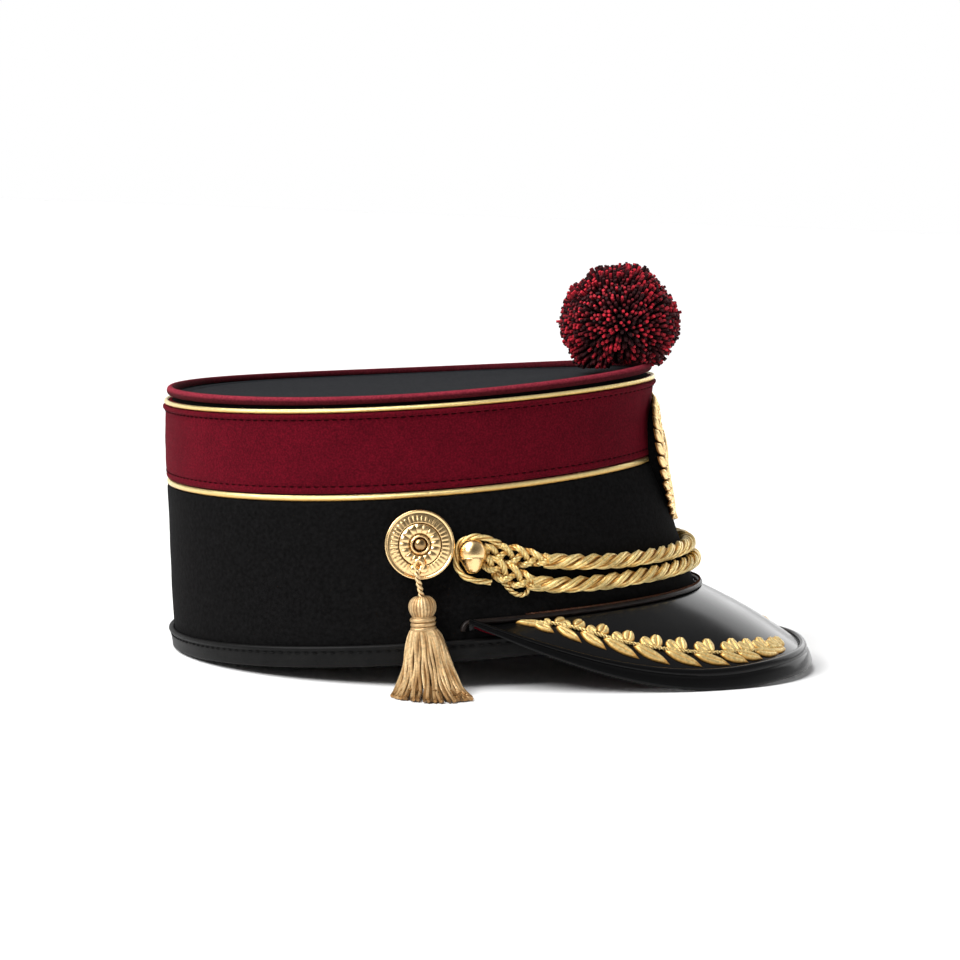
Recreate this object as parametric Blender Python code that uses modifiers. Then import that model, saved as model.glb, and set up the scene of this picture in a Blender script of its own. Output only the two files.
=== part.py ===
"""Uniform hat: an egg-shaped felt shako with a sloping patent peak, gold cords, a tassel and a pompom.

The hat is modelled upright in its own frame: x runs forward, y to the wearer's left, z up, with the
foot of the hat at z = 0. At the end the whole hat is tipped back onto the back of its foot and the two
lowest points of its peak, as it rests on a table.
"""
import math
from collections import namedtuple

import bmesh
import bpy
from mathutils import Matrix, Vector

MM = 0.001

Section = namedtuple("Section", "height half_length half_width shift end_rise")
Leaf = namedtuple("Leaf", "length width lean")
Stage = namedtuple("Stage", "along drop reach spread depth")

# Driving sizes of the hat's body
FOOT_LENGTH = 213.0 * MM
FOOT_WIDTH = 178.2 * MM
BODY_HEIGHT = 100.2 * MM
EGG = 0.14
WALL = 2.0 * MM
GAP = 0.3 * MM
ROUND_STEPS = 42

# Crown, roll and pipings
ROLL_RADIUS = 2.0 * MM
ROLL_INSET = 1.9 * MM
CROWN_THICKNESS = 1.6 * MM
CROWN_LAP = 0.8 * MM
UPPER_PIPING_RADIUS = 0.9 * MM
UPPER_PIPING_DROP = 5.0 * MM
LOWER_PIPING_RADIUS = 1.2 * MM
LOWER_PIPING_HEIGHT = 62.4 * MM
SEAM_INSET = 2.6 * MM
BAND_FOLD_PROUD = 1.3 * MM
BAND_FOLD_HEIGHT = 3.0 * MM

# Leather band round the foot
BASE_BAND_HEIGHT = 8.0 * MM
BASE_BAND_THICKNESS = 1.2 * MM
BASE_BAND_BEAD = 0.7 * MM
BASE_BAND_ROUNDING = 0.3 * MM

# Peak
PEAK_TIP = 149.0 * MM
PEAK_TAIL = 14.0 * MM
PEAK_HALF_WIDTH = 91.2 * MM
PEAK_BLUNTNESS = 2.3
PEAK_ROOT_HEIGHT = 12.6 * MM
PEAK_DROP = 33.4 * MM
PEAK_LOWEST_SHARE = 0.8
PEAK_THICKNESS = 1.8 * MM
PEAK_CROWNING = 1.3 * MM
PEAK_STEPS = 28
PEAK_ROWS = 4
ROOT_CLEARANCE = 2.2 * MM
ROOT_CLEARANCE_TAIL = 1.3 * MM
LINING_THICKNESS = 1.0 * MM
LINING_START = 8.5 * MM
LINING_REACH = 0.88
RIM_HEIGHT = 8.2 * MM
RIM_HEIGHT_TAIL = 2.2 * MM
RIM_WIDTH = 2.6 * MM
RIM_WIDTH_TAIL = 1.6 * MM
RIM_LEAN = 0.3
TRIM_RADIUS = 1.0 * MM
TRIM_DIP = 3.0 * MM

# Section of the peak's rim: shares of its width inwards from the outer face, and of its height
RIM_SECTION = ((-1.0, 0.12), (-0.7, 0.0), (-0.25, 0.0), (0.0, 0.15), (0.0, 0.58), (-0.3, 0.70),
               (-0.08, 0.80), (-0.25, 1.0), (-0.85, 1.0), (-1.0, 0.9))
# Ends of the trim cord behind the peak's tails: trim radii back from the tail, and shares of the dip
TRIM_TAIL = ((1.6, 0.15), (2.6, 0.6), (2.9, 1.0))

# Hat cords, knots and slides
CORD_RADIUS = 3.05 * MM
UPPER_CORD_FRONT = 30.2 * MM
UPPER_CORD_LIFT = 10.0 * MM
UPPER_CORD_CURVE = 2.4
LOWER_CORD_FRONT = 23.8 * MM
LOWER_CORD_LIFT = 12.0 * MM
LOWER_CORD_CURVE = 5.5
CORD_STEPS = 34
UPPER_KNOT_START = 22.0 * MM
UPPER_KNOT_END = 43.0 * MM
LOWER_KNOT_START = 21.5 * MM
LOWER_KNOT_END = 37.0 * MM
KNOT_RADIUS = 3.1 * MM
STRAND_RADIUS = 1.1 * MM
SLIDE_RADIUS = 4.85 * MM
SLIDE_LENGTH = 12.2 * MM
SLIDE_X = 16.0 * MM
SLIDE_FOOT = 32.6 * MM

# Thickness of a knot along its length, and the slide's acorn outline, as shares
KNOT_SWELL = (0.55, 0.85, 1.0, 0.86, 1.0, 0.86)
SLIDE_PROFILE = ((0.0, 1.0), (0.52, 0.965), (0.88, 0.84), (1.0, 0.66), (0.94, 0.5), (0.72, 0.34),
                 (0.52, 0.14), (0.36, 0.02), (0.0, 0.0))
# Thin strand round the slide, in mm: forward of its middle, above its foot, out from the wall
STRAND_ROUTE = ((9.6, 12.4, 2.0), (2.0, 14.1, 2.2), (-3.2, 12.4, 1.2), (-6.25, 9.6, 0.0),
                (-6.25, 2.2, 0.0), (-3.0, -1.6, 1.0), (5.1, -4.4, 1.2))

# Side buttons
BUTTON_RADIUS = 13.05 * MM
BUTTON_X = -3.9 * MM
BUTTON_HEIGHT = 43.8 * MM
BUTTON_STANDOFF = 3.2 * MM
BUTTON_THICKNESS = 3.2 * MM
BUTTON_POST_RADIUS = 3.0 * MM

# Button from the middle of its face to the back: share of the radius, mm above the face
BUTTON_FACE = ((0.0, 1.6), (0.14, 1.2), (0.20, 0.3), (0.28, 0.5), (0.34, -0.2), (0.60, -0.2),
               (0.88, -1.0), (0.93, -0.4), (1.0, -1.2), (1.0, -2.6), (0.94, -3.2))

# Tassel
TASSEL_X = -3.4 * MM
TASSEL_HEAD_RADIUS = 5.2 * MM
TASSEL_HEAD_LENGTH = 8.0 * MM
TASSEL_COLLAR_RADIUS = 4.65 * MM
TASSEL_COLLAR_LENGTH = 4.7 * MM
TASSEL_TOP = 26.0 * MM
TASSEL_REACH = 29.0 * MM
TASSEL_HALF_SPREAD = 14.6 * MM
TASSEL_HALF_DEPTH = 8.5 * MM
TASSEL_STRIPS = 15
TASSEL_CLEARANCE = 0.6 * MM
TASSEL_DRIFT = 2.6 * MM
TASSEL_HOLD = 0.72
TASSEL_VALLEY = 0.86

# Outlines of the tassel's head and collar: shares of the radius and of half the length
HEAD_PROFILE = ((0.0, 0.82), (0.45, 0.98), (0.82, 0.72), (1.0, 0.1), (0.92, -0.55), (0.72, -1.0),
                (0.0, -1.0))
COLLAR_PROFILE = ((0.0, 1.0), (0.9, 1.0), (1.0, 0.7), (0.94, 0.3), (1.0, -0.1), (0.94, -0.5),
                  (0.98, -0.85), (0.9, -1.0), (0.0, -1.0))
# Skirt from collar to tips: share along it, of the way down, of the reach, of the spread, of the depth
SKIRT_STAGES = (
    Stage(along=0.0, drop=0.0, reach=0.00, spread=0.30, depth=0.50),
    Stage(along=0.2, drop=0.25, reach=0.14, spread=0.40, depth=0.50),
    Stage(along=0.45, drop=0.58, reach=0.31, spread=0.56, depth=0.60),
    Stage(along=0.7, drop=0.84, reach=0.56, spread=0.76, depth=0.70),
    Stage(along=1.0, drop=1.0, reach=1.00, spread=1.0, depth=0.42),
)

# Pompom
POMPOM_RADIUS = 24.5 * MM
POMPOM_X = 77.9 * MM
POMPOM_CENTRE_ABOVE_ROLL = 15.1 * MM
POMPOM_STALK_RADIUS = 5.0 * MM
POMPOM_LOCK_DEPTH = 0.07

# Every leaf: where its widest point is and its root on the stem, as shares of its length
LEAF_WIDEST = 0.5
LEAF_BACK = -0.12
LEAF_FRONT = 0.14

# Leaf sprays on the peak
SPRAY_SMALL_PAIRS = 2
SPRAY_PAIRS = 7
SPRAY_STEM_WIDTH = 1.6 * MM
SPRAY_THICKNESS = 0.9 * MM
SPRAY_LIFT = 0.5 * MM
SPRAY_REACH = 0.44
SPRAY_EASY_REACH = 0.3
SPRAY_SMALL_LEAF = Leaf(length=5.0 * MM, width=3.2 * MM, lean=math.radians(45))
SPRAY_UPPER_LEAF = Leaf(length=6.6 * MM, width=5.6 * MM, lean=math.radians(50))
SPRAY_LOWER_LEAF = Leaf(length=9.6 * MM, width=5.2 * MM, lean=math.radians(36))
SPRAY_END_LEAF = Leaf(length=8.0 * MM, width=4.0 * MM, lean=0.0)
# The spray's stem over the peak, as (turn, share) of peak_point
SPRAY_ROUTE = ((-0.88, 0.08), (-0.80, 0.34), (-0.70, 0.57), (-0.53, 0.72), (-0.34, 0.80), (-0.16, 0.88))

# Front badge: a leaf wreath round a plain boss
BADGE_FOOT = 39.0 * MM
BADGE_TOP = 89.6 * MM
BADGE_HALF_WIDTH = 20.0 * MM
BADGE_THICKNESS = 1.2 * MM
BADGE_STANDOFF = 1.8 * MM
BADGE_BULGE = 0.8 * MM
BADGE_PAIRS = 11
BADGE_STEM_WIDTH = 2.0 * MM
BADGE_STEM_INSET = 4.8 * MM
BADGE_OPENING = math.radians(22)
BADGE_OUTER_LEAF = Leaf(length=7.5 * MM, width=5.2 * MM, lean=math.radians(42))
BADGE_INNER_LEAF = Leaf(length=4.2 * MM, width=2.9 * MM, lean=math.radians(48))
BADGE_END_LEAF = Leaf(length=4.0 * MM, width=3.6 * MM, lean=0.0)
BADGE_BOSS_RADIUS = 8.2 * MM
BADGE_BOSS_DOME = 2.4 * MM
BADGE_POST_RADIUS = 2.0 * MM
# Boss from the middle of its face to the back: shares of the radius and of the dome's height
BADGE_BOSS_PROFILE = ((0.0, 0.6), (0.35, 0.5), (0.66, 0.15), (0.82, -0.2), (0.9, 0.0), (1.0, -0.2), (1.0, -0.7))

# Outer wall, foot to top: heights and end rises are shares of BODY_HEIGHT,
# half lengths and shifts of half FOOT_LENGTH, half widths of half FOOT_WIDTH
WALL_SECTIONS = (
    Section(height=0.000, half_length=0.986, half_width=0.983, shift=0.000, end_rise=0.000),
    Section(height=0.090, half_length=0.990, half_width=0.984, shift=0.000, end_rise=-0.005),
    Section(height=0.180, half_length=0.973, half_width=0.969, shift=-0.018, end_rise=0.002),
    Section(height=0.623, half_length=0.910, half_width=0.902, shift=-0.074, end_rise=0.033),
    Section(height=0.798, half_length=0.903, half_width=0.896, shift=-0.077, end_rise=0.026),
    Section(height=0.950, half_length=0.910, half_width=0.902, shift=-0.060, end_rise=0.018),
    Section(height=1.000, half_length=0.910, half_width=0.901, shift=-0.060, end_rise=0.028),
)

PARTS = bpy.data.collections.new("uniform_hat")
GUIDES = bpy.data.collections.new("uniform_hat_cutters")


def clear_scene():
    for item in list(bpy.data.objects):
        bpy.data.objects.remove(item, do_unlink=True)
    bpy.context.scene.collection.children.link(PARTS)
    bpy.context.scene.collection.children.link(GUIDES)


def make_material(name, colour, roughness, metallic=0.0):
    material = bpy.data.materials.new(name)
    material.use_nodes = True
    shader = material.node_tree.nodes["Principled BSDF"]
    shader.inputs["Base Color"].default_value = (*colour, 1.0)
    shader.inputs["Roughness"].default_value = roughness
    shader.inputs["Metallic"].default_value = metallic
    return material


def add_part(name, mesh, material, smooth_angle=40.0):
    if not mesh.materials:
        mesh.materials.append(material)
    mesh.shade_smooth()
    mesh.set_sharp_from_angle(angle=math.radians(smooth_angle))
    part = bpy.data.objects.new(name, mesh)
    PARTS.objects.link(part)
    return part


def finish_bmesh(name, builder):
    bmesh.ops.recalc_face_normals(builder, faces=builder.faces)
    mesh = bpy.data.meshes.new(name)
    builder.to_mesh(mesh)
    builder.free()
    return mesh


def tube(name, points, radius, material, sides_level=1, closed=False, radii=None):
    """A round cord or piping along points; radii are shares of its radius, one for each point."""
    curve = bpy.data.curves.new(name, "CURVE")
    curve.dimensions = "3D"
    curve.bevel_depth = radius
    curve.bevel_resolution = sides_level
    curve.use_fill_caps = not closed
    spline = curve.splines.new("POLY")
    spline.points.add(len(points) - 1)
    spline.use_cyclic_u = closed
    for index, (target, place) in enumerate(zip(spline.points, points)):
        target.co = (*place, 1.0)
        if radii:
            target.radius = radii[index]
    curve.materials.append(material)
    part = bpy.data.objects.new(name, curve)
    PARTS.objects.link(part)
    return part


def solidify(part, thickness, even=True):
    shell = part.modifiers.new("thickness", "SOLIDIFY")
    shell.thickness = thickness
    shell.offset = -1.0
    shell.use_even_offset = even


def smooth_path(points, per_span):
    """Catmull-Rom curve through a few chosen points."""
    ends = [points[0] * 2 - points[1], *points, points[-1] * 2 - points[-2]]
    path = []
    for before, start, end, after in zip(ends, ends[1:], ends[2:], ends[3:]):
        for step in range(per_span):
            t = step / per_span
            path.append(0.5 * (2 * start + (end - before) * t
                               + (2 * before - 5 * start + 4 * end - after) * t ** 2
                               + (3 * start - before - 3 * end + after) * t ** 3))
    path.append(points[-1])
    return path


def mix(first, second, share):
    return first + (second - first) * share


# The wall as a surface

def section_at(height):
    share = min(max(height / BODY_HEIGHT, 0.0), 1.0)
    rows = list(zip(WALL_SECTIONS, WALL_SECTIONS[1:]))
    low, high = next(pair for pair in rows if share <= pair[1].height)
    t = (share - low.height) / (high.height - low.height)
    half_length, half_width = FOOT_LENGTH / 2, FOOT_WIDTH / 2
    return Section(
        height=height,
        half_length=mix(low.half_length, high.half_length, t) * half_length,
        half_width=mix(low.half_width, high.half_width, t) * half_width,
        shift=mix(low.shift, high.shift, t) * half_length,
        end_rise=mix(low.end_rise, high.end_rise, t) * BODY_HEIGHT,
    )


def wall_point(angle, height, offset=0.0):
    """A point on the wall, offset outwards: angle 0 is the front, 90 degrees the left side."""
    section = section_at(height)
    width = section.half_width * (1 - EGG * math.cos(angle)) + offset
    return Vector((
        (section.half_length + offset) * math.cos(angle) + section.shift,
        width * math.sin(angle),
        height + section.end_rise * math.cos(angle) ** 2,
    ))


def wall_angle(x, height, offset=0.0):
    section = section_at(height)
    reach = (x - section.shift) / (section.half_length + offset)
    return math.acos(min(max(reach, -1.0), 1.0))


def side_point(x, height, offset, side):
    """A point beside the wall at a given x; side is 1 for the left, -1 for the right."""
    return wall_point(side * wall_angle(x, height, offset), height, offset)


def side_frame(x, height, side):
    """Outward and forward directions of the wall at a side point."""
    step = 1.0 * MM
    along = side_point(x + step, height, 0, side) - side_point(x - step, height, 0, side)
    up = side_point(x, height + step, 0, side) - side_point(x, height - step, 0, side)
    along.normalize()
    outward = along.cross(up) * side * -1
    outward.normalize()
    return outward, along


def round_angles(steps=ROUND_STEPS):
    return [math.tau * index / steps for index in range(steps)]


def oval_ring(name, profile, material, smooth_angle=40.0):
    """A ring round the hat with a closed section; profile holds (offset, height) pairs."""
    builder = bmesh.new()
    loops = [[builder.verts.new(wall_point(angle, height, offset)) for offset, height in profile]
             for angle in round_angles()]
    for first, second in zip(loops, loops[1:] + loops[:1]):
        for index in range(len(profile)):
            after = (index + 1) % len(profile)
            builder.faces.new((first[index], second[index], second[after], first[after]))
    return add_part(name, finish_bmesh(name, builder), material, smooth_angle)


def oval_sheet(name, rows, material, thickness):
    """An open sheet round the hat through (offset, height) rows, thickened inwards."""
    builder = bmesh.new()
    loops = [[builder.verts.new(wall_point(angle, height, offset)) for angle in round_angles()]
             for offset, height in rows]
    for lower, upper in zip(loops, loops[1:]):
        for index in range(ROUND_STEPS):
            after = (index + 1) % ROUND_STEPS
            builder.faces.new((lower[index], lower[after], upper[after], upper[index]))
    mesh = bpy.data.meshes.new(name)
    builder.to_mesh(mesh)
    builder.free()
    part = add_part(name, mesh, material)
    solidify(part, thickness)
    return part


# Body of the hat

def wall_top():
    return BODY_HEIGHT - 2 * ROLL_RADIUS - GAP


def upper_piping_height():
    return BODY_HEIGHT - UPPER_PIPING_DROP


def band_waist():
    """Height at which the burgundy band is drawn in most."""
    return min(WALL_SECTIONS, key=lambda row: row.half_length).height * BODY_HEIGHT


def make_body_wall(felt):
    seam = LOWER_PIPING_HEIGHT - LOWER_PIPING_RADIUS - GAP
    stages = [row.height * BODY_HEIGHT for row in WALL_SECTIONS[1:3]]
    rows = [(0.0, GAP)] + [(0.0, height) for height in stages]
    rows += [(0.0, seam - GAP), (-SEAM_INSET, seam)]
    rows += [(-SEAM_INSET, band_waist()), (-SEAM_INSET, wall_top())]
    return oval_sheet("body_wall", rows, felt, WALL)


def make_base_band(leather):
    inner = GAP
    outer = GAP + BASE_BAND_THICKNESS
    bead = outer + BASE_BAND_BEAD
    top = BASE_BAND_HEIGHT
    profile = [
        (inner, 0.0), (outer - BASE_BAND_ROUNDING, 0.0), (outer, BASE_BAND_ROUNDING),
        (outer, top - 3 * BASE_BAND_BEAD), (bead, top - 2 * BASE_BAND_BEAD),
        (bead, top - BASE_BAND_BEAD), (outer, top), (inner, top),
    ]
    return oval_ring("base_band", profile, leather)


def make_burgundy_band(wool):
    foot = LOWER_PIPING_HEIGHT + LOWER_PIPING_RADIUS + GAP
    inner = GAP - SEAM_INSET
    fold_top = upper_piping_height() - UPPER_PIPING_RADIUS - GAP
    fold_foot = fold_top - BAND_FOLD_HEIGHT
    under_piping = -UPPER_PIPING_RADIUS - GAP
    profile = [
        (inner, foot), (0.0, foot), (0.0, band_waist()), (0.0, fold_foot - BAND_FOLD_PROUD),
        (BAND_FOLD_PROUD, fold_foot), (BAND_FOLD_PROUD, fold_top), (under_piping, fold_top),
        (under_piping, wall_top()), (inner, wall_top()), (inner, band_waist()),
    ]
    return oval_ring("burgundy_band", profile, wool)


def make_rings(wool, gold):
    roll = [wall_point(angle, BODY_HEIGHT - ROLL_RADIUS, -ROLL_INSET) for angle in round_angles()]
    tube("top_roll", roll, ROLL_RADIUS, wool, closed=True)
    upper = [wall_point(angle, upper_piping_height(), 0.0) for angle in round_angles()]
    tube("upper_piping", upper, UPPER_PIPING_RADIUS, gold, closed=True)
    inset = SEAM_INSET - GAP - LOWER_PIPING_RADIUS
    lower = [wall_point(angle, LOWER_PIPING_HEIGHT, -inset) for angle in round_angles()]
    tube("lower_piping", lower, LOWER_PIPING_RADIUS, gold, closed=True)


def crown_height(x):
    """Height of the crown's upper face, which rises towards the front and the back."""
    section = section_at(wall_top())
    along = (x - section.shift) / (section.half_length - SEAM_INSET - WALL)
    return wall_top() + 1.5 * GAP + CROWN_THICKNESS + section.end_rise * along ** 2


def make_crown_top(felt):
    section = section_at(wall_top())
    edge = -SEAM_INSET - WALL + CROWN_LAP
    builder = bmesh.new()
    centre = builder.verts.new((section.shift, 0.0, crown_height(section.shift)))
    loops = []
    for share in (0.5, 1.0):
        loop = []
        for angle in round_angles():
            rim = wall_point(angle, wall_top(), edge)
            x = mix(section.shift, rim.x, share)
            loop.append(builder.verts.new((x, rim.y * share, crown_height(x))))
        loops.append(loop)
    for index in range(ROUND_STEPS):
        after = (index + 1) % ROUND_STEPS
        builder.faces.new((centre, loops[0][index], loops[0][after]))
        builder.faces.new((loops[0][index], loops[1][index], loops[1][after], loops[0][after]))
    mesh = bpy.data.meshes.new("crown_top")
    builder.to_mesh(mesh)
    builder.free()
    part = add_part("crown_top", mesh, felt)
    solidify(part, CROWN_THICKNESS)
    return part


# Peak

def peak_outline(turn):
    """Edge of the peak from above; turn runs from -1 at the right tail through 0 at the tip to 1."""
    angle = turn * math.pi / 2
    power = 2 / PEAK_BLUNTNESS
    x = PEAK_TAIL + (PEAK_TIP - PEAK_TAIL) * math.cos(angle) ** power
    y = PEAK_HALF_WIDTH * math.copysign(abs(math.sin(angle)) ** power, angle)
    return Vector((x, y, 0.0))


def peak_edge_normal(turn):
    step = 0.01
    along = peak_outline(min(turn + step, 1.0)) - peak_outline(max(turn - step, -1.0))
    return Vector((along.y, -along.x, 0.0)).normalized()


def peak_drop_share(turn):
    reach = (peak_outline(turn).x - PEAK_TAIL) / (PEAK_TIP - PEAK_TAIL)
    return math.sin(math.pi / 2 * min(reach / PEAK_LOWEST_SHARE, 1.0))


def rim_foot(turn):
    place = peak_outline(turn)
    place.z = PEAK_ROOT_HEIGHT + 0.7 * RIM_HEIGHT_TAIL - PEAK_DROP * peak_drop_share(turn)
    return place


def rim_size(turn):
    share = peak_drop_share(turn)
    return mix(RIM_WIDTH_TAIL, RIM_WIDTH, share), mix(RIM_HEIGHT_TAIL, RIM_HEIGHT, share)


def facing_angle(place, height):
    """The wall angle whose outward line meets a place outside the wall, found by halving."""
    section = section_at(height)
    nearest, furthest = 0.0, PEAK_TIP
    for _ in range(24):
        offset = (nearest + furthest) / 2
        along = (place.x - section.shift) / (section.half_length + offset)
        across = place.y / (section.half_width * (1 - EGG * along) + offset)
        if math.hypot(along, across) < 1.0:
            furthest = offset
        else:
            nearest = offset
    return math.atan2(across, along)


def peak_root(turn):
    clearance = mix(ROOT_CLEARANCE_TAIL, ROOT_CLEARANCE, peak_drop_share(turn))
    angle = facing_angle(peak_outline(turn), PEAK_ROOT_HEIGHT)
    root = wall_point(angle, PEAK_ROOT_HEIGHT, clearance)
    root.z = PEAK_ROOT_HEIGHT
    return root


def peak_top_edge(turn):
    width, height = rim_size(turn)
    place = rim_foot(turn) - peak_edge_normal(turn) * (width + RIM_LEAN * height + GAP)
    place.z += height * 0.9
    return place


def peak_point(turn, share, depth=0.0):
    """The peak's upper face, share 0 at the wall and 1 at the rim; depth goes down below it."""
    place = peak_root(turn).lerp(peak_top_edge(turn), share)
    place.z += PEAK_CROWNING * math.sin(math.pi * share) * peak_drop_share(turn)
    if depth:
        place -= peak_normal(turn, share) * depth
    return place


def peak_normal(turn, share):
    step = 0.02
    low, high = max(share - step, 0.0), min(share + step, 1.0)
    left, right = max(turn - step, -1.0), min(turn + step, 1.0)
    out = peak_point(turn, high) - peak_point(turn, low)
    round_edge = peak_point(right, share) - peak_point(left, share)
    return out.cross(round_edge).normalized()


def peak_turns(first=-1.0, last=1.0, steps=PEAK_STEPS):
    return [mix(first, last, index / steps) for index in range(steps + 1)]


def peak_sheet(name, depth, thickness, material, rows=PEAK_ROWS, reach=1.0, start=0.0, end=1.0):
    """A sheet parallel to the peak's upper face, from start (a length out from its root) to share end."""
    builder = bmesh.new()
    lines = []
    for turn in peak_turns(-reach, reach):
        first = start / (peak_top_edge(turn) - peak_root(turn)).length
        shares = [mix(first, end, index / rows) for index in range(rows + 1)]
        lines.append([builder.verts.new(peak_point(turn, share, depth)) for share in shares])
    for first, second in zip(lines, lines[1:]):
        for index in range(rows):
            builder.faces.new((first[index], first[index + 1], second[index + 1], second[index]))
    mesh = bpy.data.meshes.new(name)
    builder.to_mesh(mesh)
    builder.free()
    part = add_part(name, mesh, material)
    solidify(part, thickness)
    return part


def make_peak(patent, wool):
    peak_sheet("peak", 0.0, PEAK_THICKNESS, patent)
    peak_sheet("peak_lining", PEAK_THICKNESS + GAP, LINING_THICKNESS, wool,
               rows=3, reach=LINING_REACH, start=LINING_START, end=0.97)


def make_peak_rim(patent):
    builder = bmesh.new()
    rows = []
    for turn in peak_turns():
        width, height = rim_size(turn)
        foot, outward = rim_foot(turn), peak_edge_normal(turn)
        rows.append([
            builder.verts.new(foot + outward * (across * width - RIM_LEAN * up * height)
                              + Vector((0.0, 0.0, up * height)))
            for across, up in RIM_SECTION
        ])
    for first, second in zip(rows, rows[1:]):
        for index in range(len(RIM_SECTION)):
            after = (index + 1) % len(RIM_SECTION)
            builder.faces.new((first[index], first[after], second[after], second[index]))
    builder.faces.new(rows[0])
    builder.faces.new(rows[-1])
    return add_part("peak_rim", finish_bmesh("peak_rim", builder), patent)


def make_peak_trim(leather):
    height = PEAK_ROOT_HEIGHT + TRIM_RADIUS + 2 * GAP
    offset = TRIM_RADIUS + GAP
    tail_angle = wall_angle(PEAK_TAIL, height, offset)
    points = [wall_point(tail_angle * turn, height, offset) for turn in peak_turns()]
    for side in (-1, 1):
        ends = [side_point(PEAK_TAIL - reach * TRIM_RADIUS, height - drop * TRIM_DIP, offset, side)
                for reach, drop in TRIM_TAIL]
        points = ends[::-1] + points if side < 0 else points + ends
    return tube("peak_trim", points, TRIM_RADIUS, leather)


# Cords, knots, slides and buttons

def cord_height(x, front, lift, curve):
    reach = section_at(front).half_length + section_at(front).shift
    share = max(reach - x, 0.0) / (reach - UPPER_KNOT_START)
    return front + lift * share ** curve


def cord_point(x, route, offset, side):
    front, lift, curve = route
    height = cord_height(x, front, lift, curve)
    place = side_point(x, height, offset, side)
    place.z = height
    return place


UPPER_ROUTE = (UPPER_CORD_FRONT, UPPER_CORD_LIFT, UPPER_CORD_CURVE)
LOWER_ROUTE = (LOWER_CORD_FRONT, LOWER_CORD_LIFT, LOWER_CORD_CURVE)


def cord_path(route, end_x):
    """Points round the front from one knot to the other, evenly turned round the oval."""
    offset = CORD_RADIUS + GAP
    front = route[0]
    end_angle = wall_angle(end_x, cord_height(end_x, *route), offset)
    points = []
    for index in range(CORD_STEPS + 1):
        angle = mix(-end_angle, end_angle, index / CORD_STEPS)
        x = wall_point(angle, front, offset).x
        height = cord_height(x, *route)
        place = wall_point(angle, height, offset)
        place.z = height
        points.append(place)
    return points


def make_cords(gold):
    tube("upper_cord", cord_path(UPPER_ROUTE, UPPER_KNOT_END + GAP), CORD_RADIUS, gold)
    tube("lower_cord", cord_path(LOWER_ROUTE, LOWER_KNOT_END + GAP), CORD_RADIUS, gold)


def make_knots(gold, side, side_name):
    offset = KNOT_RADIUS + GAP
    ends = (("upper", UPPER_ROUTE, UPPER_KNOT_START, UPPER_KNOT_END),
            ("lower", LOWER_ROUTE, LOWER_KNOT_START, LOWER_KNOT_END))
    for level, route, start, end in ends:
        steps = len(KNOT_SWELL) - 1
        points = [cord_point(mix(start, end, index / steps), route, offset, side)
                  for index in range(steps + 1)]
        tube(f"{level}_knot_{side_name}", points, KNOT_RADIUS, gold, radii=KNOT_SWELL)


def turned(name, profile, material, steps):
    """A solid turned round its own z from (radius, height) pairs, top to bottom."""
    builder = bmesh.new()
    verts = [builder.verts.new((radius, 0.0, height)) for radius, height in profile]
    for first, second in zip(verts, verts[1:]):
        builder.edges.new((first, second))
    mesh = bpy.data.meshes.new(name)
    builder.to_mesh(mesh)
    builder.free()
    part = add_part(name, mesh, material)
    screw = part.modifiers.new("turn", "SCREW")
    screw.steps = steps
    screw.render_steps = steps
    screw.use_merge_vertices = True
    screw.merge_threshold = 0.01 * MM
    return part


def axis_matrix(origin, axis, sideways):
    """A frame whose z is axis and whose x is as near sideways as it can be."""
    z = axis.normalized()
    y = z.cross(sideways).normalized()
    x = y.cross(z)
    return Matrix.Translation(origin) @ Matrix((x, y, z)).transposed().to_4x4()


def make_slide(gold, side, side_name):
    profile = [(radius * SLIDE_RADIUS, height * SLIDE_LENGTH) for radius, height in SLIDE_PROFILE]
    part = turned(f"cord_slide_{side_name}", profile, gold, 12)
    offset = SLIDE_RADIUS + GAP
    foot = side_point(SLIDE_X, SLIDE_FOOT, offset, side)
    head = side_point(SLIDE_X, SLIDE_FOOT + SLIDE_LENGTH, offset, side)
    part.matrix_world = axis_matrix(foot, head - foot, Vector((1.0, 0.0, 0.0)))
    return part


def make_strand(gold, side, side_name):
    """Thin strand from the upper knot over the slide, down beside the button and under to the lower knot."""
    chosen = [side_point(SLIDE_X + forward * MM, SLIDE_FOOT + above * MM, GAP + STRAND_RADIUS + out * MM, side)
              for forward, above, out in STRAND_ROUTE]
    return tube(f"slide_strand_{side_name}", smooth_path(chosen, 3), STRAND_RADIUS, gold)


def make_button(metal, side, side_name):
    face = BUTTON_STANDOFF + BUTTON_THICKNESS
    profile = [(share * BUTTON_RADIUS, face + height * MM) for share, height in BUTTON_FACE]
    profile += [(BUTTON_POST_RADIUS, BUTTON_STANDOFF), (BUTTON_POST_RADIUS, GAP), (0.0, GAP)]
    part = turned(f"side_button_{side_name}", profile, metal, 24)
    outward, along = side_frame(BUTTON_X, BUTTON_HEIGHT, side)
    place = side_point(BUTTON_X, BUTTON_HEIGHT, 0.0, side)
    part.matrix_world = axis_matrix(place, outward, along)
    return part


# Tassel

def tassel_axis_y():
    """The tassel hangs plumb from the button's face, on the right side."""
    face = BUTTON_STANDOFF + BUTTON_THICKNESS + STRAND_RADIUS + GAP
    return side_point(TASSEL_X, BUTTON_HEIGHT - TASSEL_HOLD * BUTTON_RADIUS, face, -1).y


def make_tassel_cord(gold):
    y = tassel_axis_y()
    top = BUTTON_HEIGHT - TASSEL_HOLD * BUTTON_RADIUS
    chosen = [
        Vector((BUTTON_X, y - GAP, top)),
        Vector((BUTTON_X, y - GAP, mix(top, TASSEL_TOP, 0.5))),
        Vector((TASSEL_X, y, TASSEL_TOP + GAP)),
    ]
    return tube("tassel_cord", smooth_path(chosen, 3), STRAND_RADIUS, gold)


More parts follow.
